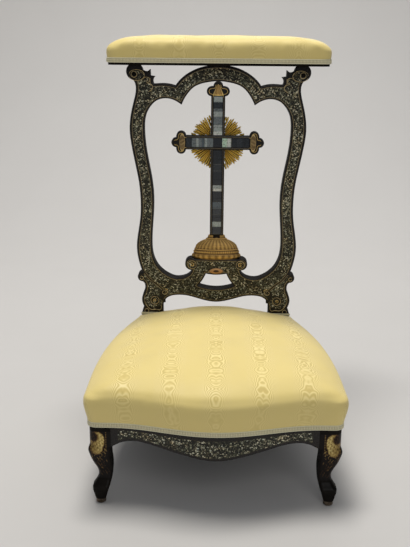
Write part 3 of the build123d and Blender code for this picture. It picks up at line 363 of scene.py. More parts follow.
almond_gilding = gilt_material("almond_gilding", (0.5, 0.28, 0.12), (0.05, 0.012, 0.006), 0.4)
shell_gilding = painted_gilding_material()
pearl_tile = tile_material()
silk = silk_material()
braid = braid_material()
black_cloth = cloth_material("black_cotton", (0.035, 0.034, 0.033), (0.012, 0.012, 0.012), 1)

# The finish of each node, by the end of its name; all others are lacquered
FINISHES = (
    (metal_material("glide_metal", (0.3, 0.24, 0.18), (0.1, 0.075, 0.055), 0.35),
     ("_glide", "_screws", "_tacks", "_pin")),
    (metal_material("spring_steel", (0.5, 0.48, 0.44), (0.22, 0.2, 0.18), 0.3), ("_springs",)),
    (cloth_material("jute", (0.5, 0.37, 0.2), (0.24, 0.16, 0.08), 2.2), ("_webbing", "_hessian")),
    (cloth_material("horsehair", (0.2, 0.13, 0.08), (0.06, 0.035, 0.02), 1.4), ("_stuffing",)),
    (plain_wood_material(), ("_block", "_dowels")),
    (black_cloth, ("_cloth",)), (silk, ("_cover",)), (braid, ("_braid",)), (pearl_tile, ("_tiles",)),
    (mound_gilding, ("_mound",)), (ray_gilding, ("_rays",)),
)
for node_name, node in nodes.items():
    node.data.materials.clear()
    finish = next((finish for finish, ends in FINISHES if node_name.endswith(ends)), lacquer)
    node.data.materials.append(finish)


# Mesh helpers
def place_in_scene(name, data):
    made = bpy.data.objects.new(name, data)
    bpy.context.scene.collection.objects.link(made)
    return made


def piece(name, points, faces, material, slot, smooth=True, uv=None, stands_for=(), **values):
    """A mesh piece from points in millimetres and values for its material, riding on the one body."""
    mesh = bpy.data.meshes.new(name)
    mesh.from_pydata((np.asarray(points, float) * MM).tolist(), [], [tuple(int(i) for i in f) for f in faces])
    mesh.update()
    for key, data in values.items():
        data = np.asarray(data, float)
        if data.ndim == 1:
            mesh.attributes.new(key, "FLOAT", "POINT").data.foreach_set("value", data)
        else:
            colours = np.c_[data, np.ones(len(data))].ravel()
            mesh.attributes.new(key, "FLOAT_COLOR", "POINT").data.foreach_set("color", colours)
    if uv is not None:
        layer = mesh.uv_layers.new(name="UVMap")
        index = np.zeros(len(mesh.loops), int)
        mesh.loops.foreach_get("vertex_index", index)
        layer.data.foreach_set("uv", (uv[index] * MM).ravel())
    mesh.materials.append(material)
    mesh.polygons.foreach_set("use_smooth", [smooth] * len(mesh.polygons))
    turned = bmesh.new()
    turned.from_mesh(mesh)
    bmesh.ops.recalc_face_normals(turned, faces=turned.faces)
    turned.to_mesh(mesh)
    turned.free()
    made = place_in_scene(name, mesh)
    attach(made, "root")
    if stands_for:
        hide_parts(*stands_for)
    return made


def grid_faces(rows, columns, closed=False):
    """Quads between rows of equal length; closed joins each row's ends."""
    faces = []
    for near in range(0, (rows - 1) * columns, columns):
        for c in range(columns if closed else columns - 1):
            d = (c + 1) % columns
            faces.append((near + c, near + d, near + columns + d, near + columns + c))
    return faces


def rings_mesh(rings):
    """Points and faces of closed rings that follow each other."""
    return np.concatenate(rings), grid_faces(len(rings), len(rings[0]), closed=True)


def merged(parts):
    """Several (points, faces) as one."""
    faces = []
    start = 0
    for points, part_faces in parts:
        faces += [tuple(i + start for i in face) for face in part_faces]
        start += len(points)
    return np.concatenate([points for points, _ in parts]), faces


def segments_of(path):
    """The segments between the points of a path; the last one closes it."""
    return np.stack([path, np.roll(path, -1, 0)], 1)


def to_segments(points, segments):
    """Shortest distance from each point to a set of segments."""
    best = np.full(len(points), np.inf)
    for one, two in segments:
        way = two - one
        gap = points - one
        share = np.clip((gap * way).sum(1) / max((way**2).sum(), 1e-12), 0, 1)
        gap -= share[:, None] * way
        best = np.minimum(best, (gap**2).sum(1))
    return np.sqrt(best)


def inside(points, segments):
    """Whether each point lies inside closed loops of segments."""
    odd = np.zeros(len(points), bool)
    x, y = points.T
    for (x0, y0), (x1, y1) in segments:
        if y0 != y1:
            odd ^= ((y0 > y) != (y1 > y)) & (x < x0 + (y - y0) / (y1 - y0) * (x1 - x0))
    return odd


def face_outline(node_name, place, axis=1):
    """Edges of a node's flat face towards -Y or -Z, as segments in the other two directions."""
    mesh = nodes[node_name].data
    one_way, other_way = [k for k in range(3) if k != axis]
    seen = {}
    for polygon in mesh.polygons:
        if polygon.normal[axis] > -0.99 or abs(polygon.center[axis] / MM - place) > 0.3:
            continue
        corners = [mesh.vertices[i].co for i in polygon.vertices]
        ring = [(round(c[one_way] / MM, 3), round(c[other_way] / MM, 3)) for c in corners]
        for one, two in zip(ring, ring[1:] + ring[:1]):
            if one != two:
                key = (min(one, two), max(one, two))
                seen[key] = seen.get(key, 0) + 1
    return np.array([key for key, times in seen.items() if times == 1], float)


def plate_points(region, step):
    """Points along the edge and on a grid inside it, and the triangles between them."""
    index = {}
    edges = []

    def number(point):
        return index.setdefault((round(point[0], 3), round(point[1], 3)), len(index))

    for one, two in region:
        count = max(1, int(np.ceil(np.hypot(*(two - one)) / step)))
        chain = [number(one + (two - one) * i / count) for i in range(count + 1)]
        edges += [pair for pair in zip(chain, chain[1:]) if pair[0] != pair[1]]
    low = region.reshape(-1, 2).min(0)
    high = region.reshape(-1, 2).max(0)
    grid = []
    for i, z in enumerate(np.arange(low[1], high[1], step * math.sqrt(3) / 2)):
        grid += [(x + (i % 2) * step / 2, z) for x in np.arange(low[0], high[0], step)]
    grid = np.array(grid)
    grid = grid[inside(grid, region)]
    grid = grid[to_segments(grid, region) > step * 0.5]
    every = [Vector(p) for p in index] + [Vector(p) for p in grid]
    points, _, faces, *_ = delaunay_2d_cdt(every, edges, [], 0, 1e-4)
    points = np.array([tuple(p) for p in points])
    faces = np.array([f for f in faces if len(f) == 3])
    return points, faces[inside(points[faces].mean(1), region)]


def resampled(path, count, closed=False):
    """The same path with evenly spaced points."""
    path = np.asarray(path, float)
    loop = np.concatenate([path, path[:1]]) if closed else path
    run = np.r_[0, np.cumsum(np.linalg.norm(np.diff(loop, axis=0), axis=1))]
    at = np.linspace(0, run[-1], count, endpoint=not closed)
    return np.array([np.interp(at, run, column) for column in loop.T]).T


def ahead_of(path, closed=False):
    """The way ahead at each point of a path."""
    ahead = np.roll(path, -1, 0) - np.roll(path, 1, 0)
    if not closed:
        ahead[0] = path[1] - path[0]
        ahead[-1] = path[-1] - path[-2]
    return ahead


def outward(ahead):
    """The way to the right of each way ahead, of length one."""
    out = np.c_[ahead[:, 1], -ahead[:, 0]]
    return out / np.linalg.norm(out, axis=1)[:, None]


def tube(path, radius):
    """Six-sided bar along a path, with a radius for each of its points."""
    ahead = ahead_of(path)
    ahead /= np.linalg.norm(ahead, axis=1)[:, None]
    normal = np.cross(ahead[0], (0.123, 0.931, 0.342))
    turn = full_turn(6)[:, None]
    rings = []
    for place, way, reach in zip(path, ahead, radius):
        normal = normal - way * normal.dot(way)
        normal /= np.linalg.norm(normal)
        rings.append(place + reach * (np.cos(turn) * normal + np.sin(turn) * np.cross(way, normal)))
    points, faces = rings_mesh(rings)
    return points, faces + [tuple(range(6))[::-1], tuple(range(len(points) - 6, len(points)))]


def smooth_path(points, count):
    """A Catmull-Rom curve through points, evenly spaced."""
    p = np.asarray(points, float)
    p = np.concatenate([2 * p[:1] - p[1:2], p, 2 * p[-1:] - p[-2:-1]])
    fine = []
    for a, b, c, d in zip(p, p[1:], p[2:], p[3:]):
        for t in np.linspace(0, 1, 24, endpoint=False):
            bend = (2 * a - 5 * b + 4 * c - d) * t**2 + (3 * b - a - 3 * c + d) * t**3
            fine.append(0.5 * (2 * b + (c - a) * t + bend))
    return resampled(fine + [p[-2]], count)


def spiral(x, z, start, end, turns, first=0, count=48):
    """A flat spiral about a place, as points across and up."""
    t = np.linspace(0, 1, count)
    radius = start + (end - start) * t
    angle = first + math.tau * turns * t
    return np.c_[x + radius * np.cos(angle), z + radius * np.sin(angle)]


def swell(distance, reach, height):
    """The rise of a rounded edge at a distance from it."""
    share = np.clip(distance / reach, 0, 1)
    return height * (1 - (1 - share) ** 2)


def past(values, start, reach):
    """How far values are past a start, in shares of a reach."""
    return np.clip((values - start) / reach, 0, 1)


def bell(values, width):
    """One where a value is zero, falling off smoothly to both sides."""
    return np.exp(-(values / width) ** 2)


def full_turn(count):
    """Even angles round a circle."""
    return np.linspace(0, math.tau, count, endpoint=False)


# Carved and inlaid back
BACK_NODES = ("right_upright", "left_upright", "crest_rail", "lower_back_rail")
CREST_JOINT_X = 140
CREST_JOINT_Z = (690, 736)
RAIL_JOINT_X = 122
RAIL_JOINT_Z = (227, 314)
BLOCK_Z = 228
OUTER_RIM = 1.7
RIDGE_RIM = 1.9
INLAY_Y = BACK_Y - 0.12
BOSS_Y = BACK_Y - 0.9
LINE_Y = BACK_Y - 0.95


def loops(segments):
    """Numbers the segments by the closed or open run that they belong to."""
    ends = {}
    for i, segment in enumerate(segments):
        for end in segment:
            ends.setdefault(tuple(np.round(end, 1)), []).append(i)
    label = np.full(len(segments), -1)
    for first in range(len(segments)):
        waiting = [first] if label[first] < 0 else []
        while waiting:
            one = waiting.pop()
            if label[one] < 0:
                label[one] = first
                for end in segments[one]:
                    waiting += ends[tuple(np.round(end, 1))]
    return label


back_regions = {name: face_outline(name, BACK_Y) for name in BACK_NODES}
back_edges = np.concatenate(list(back_regions.values()))
across = np.abs(back_edges[:, :, 0])
up = back_edges[:, :, 1]
joint = (np.abs(across - CREST_JOINT_X) < 0.3).all(1)
joint &= (up > CREST_JOINT_Z[0]).all(1) & (up < CREST_JOINT_Z[1]).all(1)
rail_joint = (np.abs(across - RAIL_JOINT_X) < 0.3).all(1)
joint |= rail_joint & (up.max(1) > RAIL_JOINT_Z[0]) & (up.max(1) < RAIL_JOINT_Z[1])
below_joint = back_edges[joint]
below_joint[:, :, 1] = np.minimum(below_joint[:, :, 1], BLOCK_Z)
below_joint = below_joint[np.ptp(below_joint[:, :, 1], axis=1) > 1]
back_edges = np.concatenate([back_edges[~joint], below_joint])
back_label = loops(back_edges)
on_outside = back_label == back_label[np.argmax(np.abs(back_edges[:, 0, 0]))]
outer_edges = back_edges[on_outside]
inner_edges = back_edges[~on_outside]

# Drawn on the right-hand side and mirrored: the ridge between band and block, and the plain black parts
RIDGE = smooth_path([(166, 313), (151, 294), (133, 280), (121, 268), (117, 262)], 40)
DARK_PATCHES = [
    [(118, 265), (124, 269), (130, 262), (129, 251), (124, 241), (120, 246)],
    [(116, 235), (124, 232), (134, 228), (146, 226), (158, 229), (166, 234), (178, 236), (178, 205),
     (116, 205)],
    [(166, 314), (182, 318), (184, 286), (166, 288), (165, 300)],
]
HEAD_RING = (176.5, 751, 17, 11.5)
HEAD_INNER_X = 136
RINGS = [(141, 244, 11.5, 7), (55, 330, 11.8, 7.2), (182, 752.5, 9.6, 7.6)]


def dark_share(flipped):
    """How far a place on the back is plain black instead of pearl."""
    across, up = flipped.T
    dark = np.zeros(len(flipped))
    for patch in DARK_PATCHES:
        dark[inside(flipped, segments_of(patch))] = 1
    for x, z, far, near in RINGS:
        away = np.hypot(across - x, up - z)
        dark[(away < far) & (away > near)] = 1
    x, z, wide, high = HEAD_RING
    off_ring = ((across - x) / wide) ** 2 + ((up - z) / high) ** 2 > 1
    dark[(up > 743 + 0.35 * (160 - across)) & (across > HEAD_INNER_X) & off_ring] = 1
    return dark


for node_name, region in back_regions.items():
    points, faces = plate_points(region, 1.5)
    x, z = points.T
    flipped = np.c_[np.abs(x), z]
    to_outer = to_segments(points, outer_edges)
    to_inner = to_segments(points, inner_edges)
    to_ridge = to_segments(flipped, segments_of(RIDGE)[:-1])
    laid = np.minimum(np.minimum(to_outer - OUTER_RIM, to_inner), to_ridge + RIDGE_RIM)
    rise = swell(np.minimum(to_outer, to_inner), 2.4, 0.9) - 0.6 * bell(to_ridge, 1.3)
    piece(node_name + "_inlay", np.c_[x, INLAY_Y - np.maximum(rise, 0), z], faces, pearl_inlay,
          "mother_of_pearl", edge=laid, dark=dark_share(flipped))


def lines_piece(name, paths, radius, material):
    """Thin raised gilt lines on the back, mirrored to both sides."""
    parts = []
    for path in paths:
        x, z = path.T
        y = np.full(len(path), LINE_Y)
        taper = 0.55 + 0.45 * np.sin(math.pi * np.linspace(0, 1, len(path)))
        parts += [tube(np.c_[side * x, y, z], radius * taper) for side in (1, -1)]
    points, faces = merged(parts)
    piece(name, points, faces, material, "gilding", height=np.full(len(points), 0.75))


ring_x, ring_z, ring_wide, ring_high = HEAD_RING
turn = np.linspace(0, math.tau, 60)[4:-3]
lines_piece("scroll_lines", [
    np.c_[ring_x + ring_wide * np.cos(turn), ring_z + ring_high * np.sin(turn)],
    spiral(182, 752.5, 6.6, 5.6, 1, 0.4),
    smooth_path([(161, 745), (156, 747), (151, 746), (148, 742), (150, 737), (155, 735)], 30),
    smooth_path([(155, 735), (149, 733), (144, 731), (142, 726), (144, 721), (148, 718), (152, 716)], 34),
    smooth_path([(120, 268), (123.5, 264), (122, 260), (118, 258.5), (113.5, 260.5), (112, 265), (115, 269),
                 (119, 268)], 40),
    spiral(141, 244, 9.6, 9, 1, 2, 50),
    spiral(160, 218.5, 4.6, 4.6, 1, 0, 40),
    spiral(171, 297, 4.6, 3, 0.9, 0.8, 30),
    spiral(55, 330, 9.8, 9.2, 1, 3.4, 50),
    smooth_path([(162, 235), (158, 228), (152, 222.5), (146, 221), (138, 222), (131, 220.5), (127, 223),
                 (125.5, 231)], 40),
], 0.8, line_gilding)
lines_piece("scroll_glints", [
    spiral(55, 330, 5.2, 0.8, 1.2, 0.6, 40),
    spiral(141, 244, 4.2, 0.6, 1.1, 5, 40),
    smooth_path([(110, 268), (113, 271), (118, 272)], 20),
], 0.8, gilding)

# Black beads inside the scroll heads and the rings
parts = []
turn = full_turn(24)
for x, z, radius in ((182, 752.5, 4.6), (160, 218.5, 3.2), (55, 330, 1.6)):
    for side in (1, -1):
        rings = []
        for angle in np.linspace(0, math.pi / 2, 9):
            reach = radius * math.cos(angle)
            out = np.full(24, BOSS_Y - 0.4 * radius * math.sin(angle))
            rings.append(np.c_[side * x + reach * np.cos(turn), out, z + reach * np.sin(turn)])
        parts.append(rings_mesh(rings))
piece("scroll_beads", *merged(parts), lacquer, "black_lacquer")

# Almond boss under the cradle's bar
ALMOND_Z = 315.5
ALMOND_HALF_X = 18.5
ALMOND_HALF_Z = 7.6
turn = full_turn(64)
rings = []
heights = []
for share in np.linspace(1, 0.04, 12):
    x = ALMOND_HALF_X * share * np.cos(turn)
    z = ALMOND_Z + ALMOND_HALF_Z * share * np.sign(np.sin(turn)) * np.abs(np.sin(turn)) ** 1.35
    rings.append(np.c_[x, np.full(64, BOSS_Y - 2 * (1 - share**2)), z])
    heights.append(np.full(64, 0.85 if 0.36 < share <= 0.84 else 0.1))
piece("almond_boss", *rings_mesh(rings), almond_gilding, "gilding", height=np.concatenate(heights))

# Cross: its two front faces, with the pockets of the tiles and the halved joint left out of the rim
POCKET_HALF = 10.2
POST_POCKET_Z = (399, 709)
ARM_POCKET_X = 71
END_Z = 704
DARK_END_Z = 731.5
POST_PAST_ARM = 636.5
for node_name in ("cross_post", "cross_arm"):
    region = face_outline(node_name, CROSS_Y)
    x, z = np.abs(region[:, :, 0]), region[:, :, 1]
    if node_name == "cross_post":
        skipped = (x < POCKET_HALF).all(1) & (z > POST_POCKET_Z[0]).all(1) & (z < POST_POCKET_Z[1]).all(1)
        skipped |= (x < CROSS_HALF).all(1) & (np.abs(z - ARM_Z) < CROSS_HALF + 0.2).all(1)
    else:
        skipped = (np.abs(z - ARM_Z) < POCKET_HALF).all(1) & (x < ARM_POCKET_X).all(1)
    points, faces = plate_points(region, 1.1)
    x, z = points.T
    to_edge = to_segments(points, region[~skipped])
    along = z if node_name == "cross_post" else np.abs(x) + POST_PAST_ARM
    end = past(along, END_Z, 4)
    piece(node_name + "_face", np.c_[x, CROSS_Y - 0.1 - swell(to_edge, 2.2, 0.7), z], faces, cross_inlay,
          "black_lacquer", edge=to_edge - 1.6 * end, dark=past(along, DARK_END_Z, 0.8), wide=end)

TONES = {
    "white": (0.62, 0.64, 0.62), "light": (0.36, 0.4, 0.4), "grey": (0.16, 0.185, 0.2),
    "blue": (0.09, 0.115, 0.14), "slate": (0.022, 0.028, 0.036), "dark": (0.01, 0.014, 0.02),
    "mint": (0.5, 0.66, 0.54),
}
TILE_HALF = 9.7
TILE_GAP = 0.12


def tiles_piece(name, start, spans, along_x, node_name):
    """Thin tiles with eased edges, each from the end of the one before; one without a tone is a gap."""
    parts = []
    tones = []
    starts = [start] + [end for end, _ in spans]
    for low, (high, tone) in zip(starts, spans):
        if not tone:
            continue
        x0, x1, z0, z1 = -TILE_HALF, TILE_HALF, low + TILE_GAP, high - TILE_GAP
        if along_x:
            x0, x1, z0, z1 = z0, z1, ARM_Z + x0, ARM_Z + x1
        rings = []
        for inset, rise in ((0, -1.2), (0, 0.05), (0.3, 0.15), (0.9, 0.2)):
            y = CROSS_Y - rise
            rings.append([
                (x0 + inset, y, z0 + inset), (x1 - inset, y, z0 + inset),
                (x1 - inset, y, z1 - inset), (x0 + inset, y, z1 - inset),
            ])
        points, faces = rings_mesh(rings)
        parts.append((points, faces + [(12, 13, 14, 15)]))
        tones += [TONES[tone]] * len(points)
    piece(name, *merged(parts), pearl_tile, "mother_of_pearl", smooth=False, stands_for=[node_name],
          tone=tones)


tiles_piece("post_tiles", 400.4, [
    (418, "dark"), (430, "light"), (446, "dark"), (460, "slate"), (475, "blue"), (499.5, "dark"),
    (506, "white"), (513, "light"), (545, "dark"), (560, "slate"), (591.2, "dark"), (623.8, None),
    (632, "white"), (646, "light"), (664, "grey"), (675, "light"), (681, "grey"), (695, "slate"),
    (707, "light"),
], False, "post_pearl_tiles")
tiles_piece("arm_tiles", -69.8, [
    (-57, "slate"), (-48, "grey"), (-42, "light"), (-35, "grey"), (-29, "blue"), (-23, "light"),
    (-9.9, "grey"), (-9.8, None), (9.8, "dark"), (9.9, None), (21, "mint"), (30, "white"), (42, "dark"),
    (55, "slate"), (69.8, "dark"),
], True, "arm_pearl_tiles")

# Gilt leaf on each end of the cross: half width at shares of its length, from its foot to its tip
TOP_LEAF_Z = 708.8
TOP_LEAF_LONG = 25
ARM_LEAF_X = 72
ARM_LEAF_LONG = 12.5
LEAF = np.array([
    (0, 0), (0.01, 11.5), (0.12, 11.2), (0.25, 9.8), (0.5, 7.1), (0.75, 4.5), (0.9, 2.4), (1, 0),
])
ARM_LEAF = [(0, 0), (0.02, 7), (0.08, 11.5), (0.2, 16), (0.35, 19), (0.5, 20)]
ARM_LEAF = np.array(ARM_LEAF + [(1 - share, half) for share, half in ARM_LEAF[-2::-1]])


def leaf(shape, length, place):
    """A gilt leaf with a raised middle and veins; place turns its own two directions into the cross's."""
    rows = []
    heights = []
    for share in np.linspace(0, 1, 30):
        half = np.interp(share, shape[:, 0], shape[:, 1])
        for side in np.linspace(-1, 1, 25):
            vein = 0.5 + 0.5 * math.cos(side * 14 + share * 5)
            dome = (1 - side**2) * (1 - abs(2 * share - 0.9) ** 3)
            x, z = place(half * side, length * share)
            rows.append((x, CROSS_Y - 0.75 - 1.5 * max(dome, 0) - 0.3 * vein * (1 - side**2), z))
            rim = abs(side) > 0.8 or share < 0.1 or share > 0.9
            heights.append(0.85 if rim else 0.3 + 0.35 * vein * (1 - abs(side)))
    return (np.array(rows), grid_faces(30, 25)), heights


top, heights = leaf(LEAF, TOP_LEAF_LONG, lambda a, b: (a, TOP_LEAF_Z + b))
piece("cross_top_leaf", *top, gilding, "gilding", height=heights)
right, heights = leaf(ARM_LEAF, ARM_LEAF_LONG, lambda a, b: (ARM_LEAF_X + b, ARM_Z + a))
left, _ = leaf(ARM_LEAF, ARM_LEAF_LONG, lambda a, b: (-ARM_LEAF_X - b, ARM_Z + a))
piece("cross_arm_leaves", *merged([right, left]), dull_gilding, "gilding", height=heights * 2)

# Rays, from the plate at the back to the long ones in front. For each layer: number, reach, lift, how much
# shorter a tip may be, half width in shares of the pitch, ridge and painted light, with painted shade on the
# layers behind
RAY_LAYERS = (
    (11, 57, 0.2, 3, 0.52, 0.3, 0.4),
    (10, 59.5, 0.7, 5, 0.16, 1.3, 0.85),
    (11, 62.5, 1.5, 5, 0.38, 2.2, 1),
)
RAY_BACK = 8.6
FAN_LOW = math.radians(15.6)
FAN_SPREAD = math.radians(74.4 - 15.6)


def fan(side, up, node_name):
    """Fine pointed gilt rays in one angle of the cross, over a plate with short points."""
    local = np.random.default_rng(11 + side * 3 + up)
    parts = []
    heights = []
    for count, reach, lift, shorter, width, ridge, painted_light in RAY_LAYERS:
        pitch = FAN_SPREAD / count
        for k in range(count):
            angle = FAN_LOW + (k + 0.5) * pitch + 0.1 * pitch * local.standard_normal()
            angle = min(max(angle, FAN_LOW + pitch * 0.4), FAN_LOW + FAN_SPREAD - pitch * 0.4)
            tip = reach - shorter * local.random() ** 1.5
            start = CROSS_HALF / min(math.cos(angle), math.sin(angle))
            if tip < start + 4:
                continue
            rings = []
            for share in np.linspace(0, 1, 9):
                radius = start + (tip - start) * share
                turn = width * pitch * (1 if share < 0.86 else (1 - share) / 0.2 + 0.3)
                rise = ridge * (1 - 0.35 * share)
                ring = []
                # Painted light: a painted highlight on one side of each ray, painted shade on the other side
                # and the flanks
                for offset, height, bright in (
                    (-1, lift - 0.4, 0.2), (-0.5, lift + 0.55 * rise, 0.95), (0, lift + rise, 1),
                    (0.5, lift + 0.55 * rise, 0.65), (1, lift - 0.4, 0.15), (1, -1.2, 0), (-1, -1.2, 0),
                ):
                    at = angle + turn * offset
                    ring.append((side * radius * math.cos(at), CROSS_Y + RAY_BACK - height,
                                 ARM_Z + up * radius * math.sin(at)))
                    heights.append(bright * painted_light * (0.85 + 0.15 * local.random()) if bright else 0.1)
                rings.append(ring)
            points, faces = rings_mesh(rings)
            parts.append((points, faces + [tuple(range(7)), tuple(range(56, 63))[::-1]]))
    piece(node_name + "_relief", *merged(parts), ray_gilding, "gilding", smooth=False, stands_for=[node_name],
          height=heights)


for up, height_name in ((1, "upper"), (-1, "lower")):
    for side, side_name in ((1, "right"), (-1, "left")):
        fan(side, up, f"{height_name}_{side_name}_rays")

# Mound: its profile in shares of reach and rise, and bands of lobes, beads and flutes round it
MOUND = [
    (0.88, 0), (0.93, 0.03), (0.99, 0.08), (1, 0.125), (0.985, 0.18), (0.94, 0.225), (0.925, 0.25),
    (0.94, 0.27), (0.945, 0.3), (0.93, 0.33), (0.905, 0.35), (0.9, 0.375), (0.915, 0.39), (0.91, 0.41),
    (0.87, 0.425), (0.855, 0.46), (0.845, 0.5), (0.82, 0.56), (0.76, 0.625), (0.69, 0.68), (0.61, 0.725),
    (0.53, 0.765), (0.46, 0.795), (0.43, 0.81), (0.44, 0.83), (0.42, 0.85), (0.37, 0.865), (0.355, 0.9),
    (0.345, 0.95), (0.32, 0.985), (0.29, 1), (0, 1),
]
MOUND_REACH = 55.5
MOUND_RISE = 56
MOUND_DEPTH = 18
MOUND_Y = 232.5
MOUND_Z = 343
LOBES = 22
LOBES_TOP = 0.22
BEADS = 60
BEADS_LOW, BEADS_TOP = 0.24, 0.34
FLUTES = 30
FLUTES_LOW, FLUTES_TOP = 0.42, 0.78
profile = resampled(np.array(MOUND) * (MOUND_REACH, MOUND_RISE), 110)
turn = full_turn(240)
rings = []
heights = []
for reach, rise in profile:
    share = rise / MOUND_RISE
    wave = np.zeros(240)
    deep, contrast = 0.7, 0.25
    if share < LOBES_TOP:
        wave = np.cos(turn * LOBES) * math.sin(math.pi * share / LOBES_TOP)
    elif BEADS_LOW < share < BEADS_TOP:
        wave = np.cos(turn * BEADS)
        deep = 0.35
    elif FLUTES_LOW < share < FLUTES_TOP:
        wave = np.cos(turn * FLUTES)
        contrast = 0.2
    out = reach + deep * wave
    y = out * np.sin(turn) * MOUND_DEPTH / MOUND_REACH
    rings.append(np.c_[out * np.cos(turn), MOUND_Y + y, np.full(240, MOUND_Z + rise)])
    heights.append((0.47 if share < FLUTES_LOW else 0.65) + contrast * wave)
for k in range(1, len(rings) - 1):
    bend = profile[k - 1, 0] + profile[k + 1, 0] - 2 * profile[k, 0]
    heights[k] = np.clip(heights[k] - 1.2 * bend, 0, 1)
piece("mound_relief", *rings_mesh(rings), mound_gilding, "gilding", stands_for=["cross_mound"],
      height=np.concatenate(heights))


# Padded forms
def level(plan, z):
    """A ring of points across and along, at one height."""
    return np.c_[plan, np.full(len(plan), z)]


def between_rows(table, count):
    """Places along a table's rows, and the rows at them."""
    spots = np.linspace(0, len(table) - 1, count)
    return spots, np.array([np.interp(spots, np.arange(len(table)), column) for column in table.T]).T


def relaxed(grid, first, passes):
    """Rings from a first one on, drawn towards their neighbours."""
    for _ in range(passes):
        grid[first:-1] += 0.5 * ((grid[first - 1:-2] + grid[first + 1:]) / 2 - grid[first:-1])


def padded_piece(name, points, faces, uv, stands_for):
    made = piece(name, points, faces, silk, "yellow_silk", uv=uv, stands_for=stands_for)


# Seat cushion. Its sides: height and offset of each ring
SEAT_SIDES = (
    (160, -0.4), (155.6, 0.2), (155.1, 0.9), (155, 1.3), (157, 1.5), (161, 1.7), (165, 2), (169, 2.9),
    (173, 4), (177, 5.5), (181, 7.1), (185, 8.6), (189, 9.8), (193, 10.7), (197, 11.2), (201, 11.3),
    (205, 10.9),
)
# Rings of the crown: rise, width, front edge in, rear edge in, rear corners further in, notches left
CROWN = np.array([
    (0, 1, 0, 0, 0, 1), (0.132, 0.985, 0, 0.0235, 0.186, 0.2),
    (0.245, 0.951, 0.008, 0.049, 0.215, 0.15), (0.36, 0.908, 0.026, 0.1, 0.247, 0.12),
    (0.5, 0.835, 0.073, 0.168, 0.285, 0.1), (0.62, 0.75, 0.125, 0.237, 0.309, 0.1),
    (0.74, 0.642, 0.205, 0.345, 0.31, 0.1), (0.85, 0.514, 0.34, 0.476, 0.287, 0.1),
    (0.93, 0.385, 0.51, 0.59, 0.24, 0.1), (0.98, 0.214, 0.73, 0.747, 0.144, 0.1),
    (1, 0.08, 0.92, 0.9, 0.06, 0.1),
])
# Short pulls of the cloth over the front edge: place across and size
PULLS = ((-132, 1), (-104, 1.3), (-121, -0.9), (-60, 0.7), (75, 0.6), (140, 0.8), (168, 0.7))
TAPER_Y = -172
BOW = 33.5
BOW_HALF_X = 190
TURN_Z = 214
CROWN_OVERHANG = 6.5


def half_width_at(y):
    share = max(0, (y - TAPER_Y) / (BACK_Y - TAPER_Y))
    return SEAT_HALF_X - (SEAT_HALF_X - SEAT_REAR_HALF_X) * share**2.1


def front_at(x):
    return SEAT_FRONT_Y - BOW * math.cos(math.pi / 2 * min(1, abs(x) / BOW_HALF_X)) ** 2


def shares(count):
    """Even shares up to one, without the zero."""
    return np.linspace(0, 1, count + 1)[1:]


def seat_plan(offset, row=CROWN[0]):
    """The seat's outline moved out by an offset, or a ring of its crown, always with the same points."""
    _, width, front, rear_in, droop, notch = row
    radius = max(SEAT_CORNER + offset, 3)
    flat = SEAT_HALF_X + offset - radius
    rear = SEAT_REAR_Y + offset
    shelf_y = rear - notch * (rear - BACK_Y + 0.3)
    start_y = SEAT_FRONT_Y - offset + radius
    half = [(x, front_at(x) - offset) for x in np.linspace(0, flat, 40)]
    for angle in np.radians(np.linspace(-90, 0, 11)[1:-1]):
        half.append((flat + radius * math.cos(angle), start_y + radius * math.sin(angle)))
    half += [(half_width_at(min(y, BACK_Y)) + offset, y) for y in np.linspace(start_y, shelf_y, 60)]
    end_x = half[-1][0]
    half += [(end_x + (NOTCH_X - end_x) * share, shelf_y) for share in shares(14)]
    half += [(NOTCH_X, shelf_y + (rear - shelf_y) * share) for share in shares(8)]
    half += [(NOTCH_X * (1 - share), rear) for share in shares(25)]
    half = np.array(half)
    ring = np.concatenate([half, half[-2:0:-1] * (-1, 1)])
    along = ring[:, 1] - SEAT_MIDDLE_Y
    reach = rear - SEAT_MIDDLE_Y
    share = np.clip(along / reach, 0, 1)
    drooped = droop * reach * (ring[:, 0] / (SEAT_REAR_HALF_X + offset) * share) ** 2
    moved = along * (1 - np.where(along > 0, rear_in, front)) - drooped
    return np.c_[ring[:, 0] * width, SEAT_MIDDLE_Y + moved]


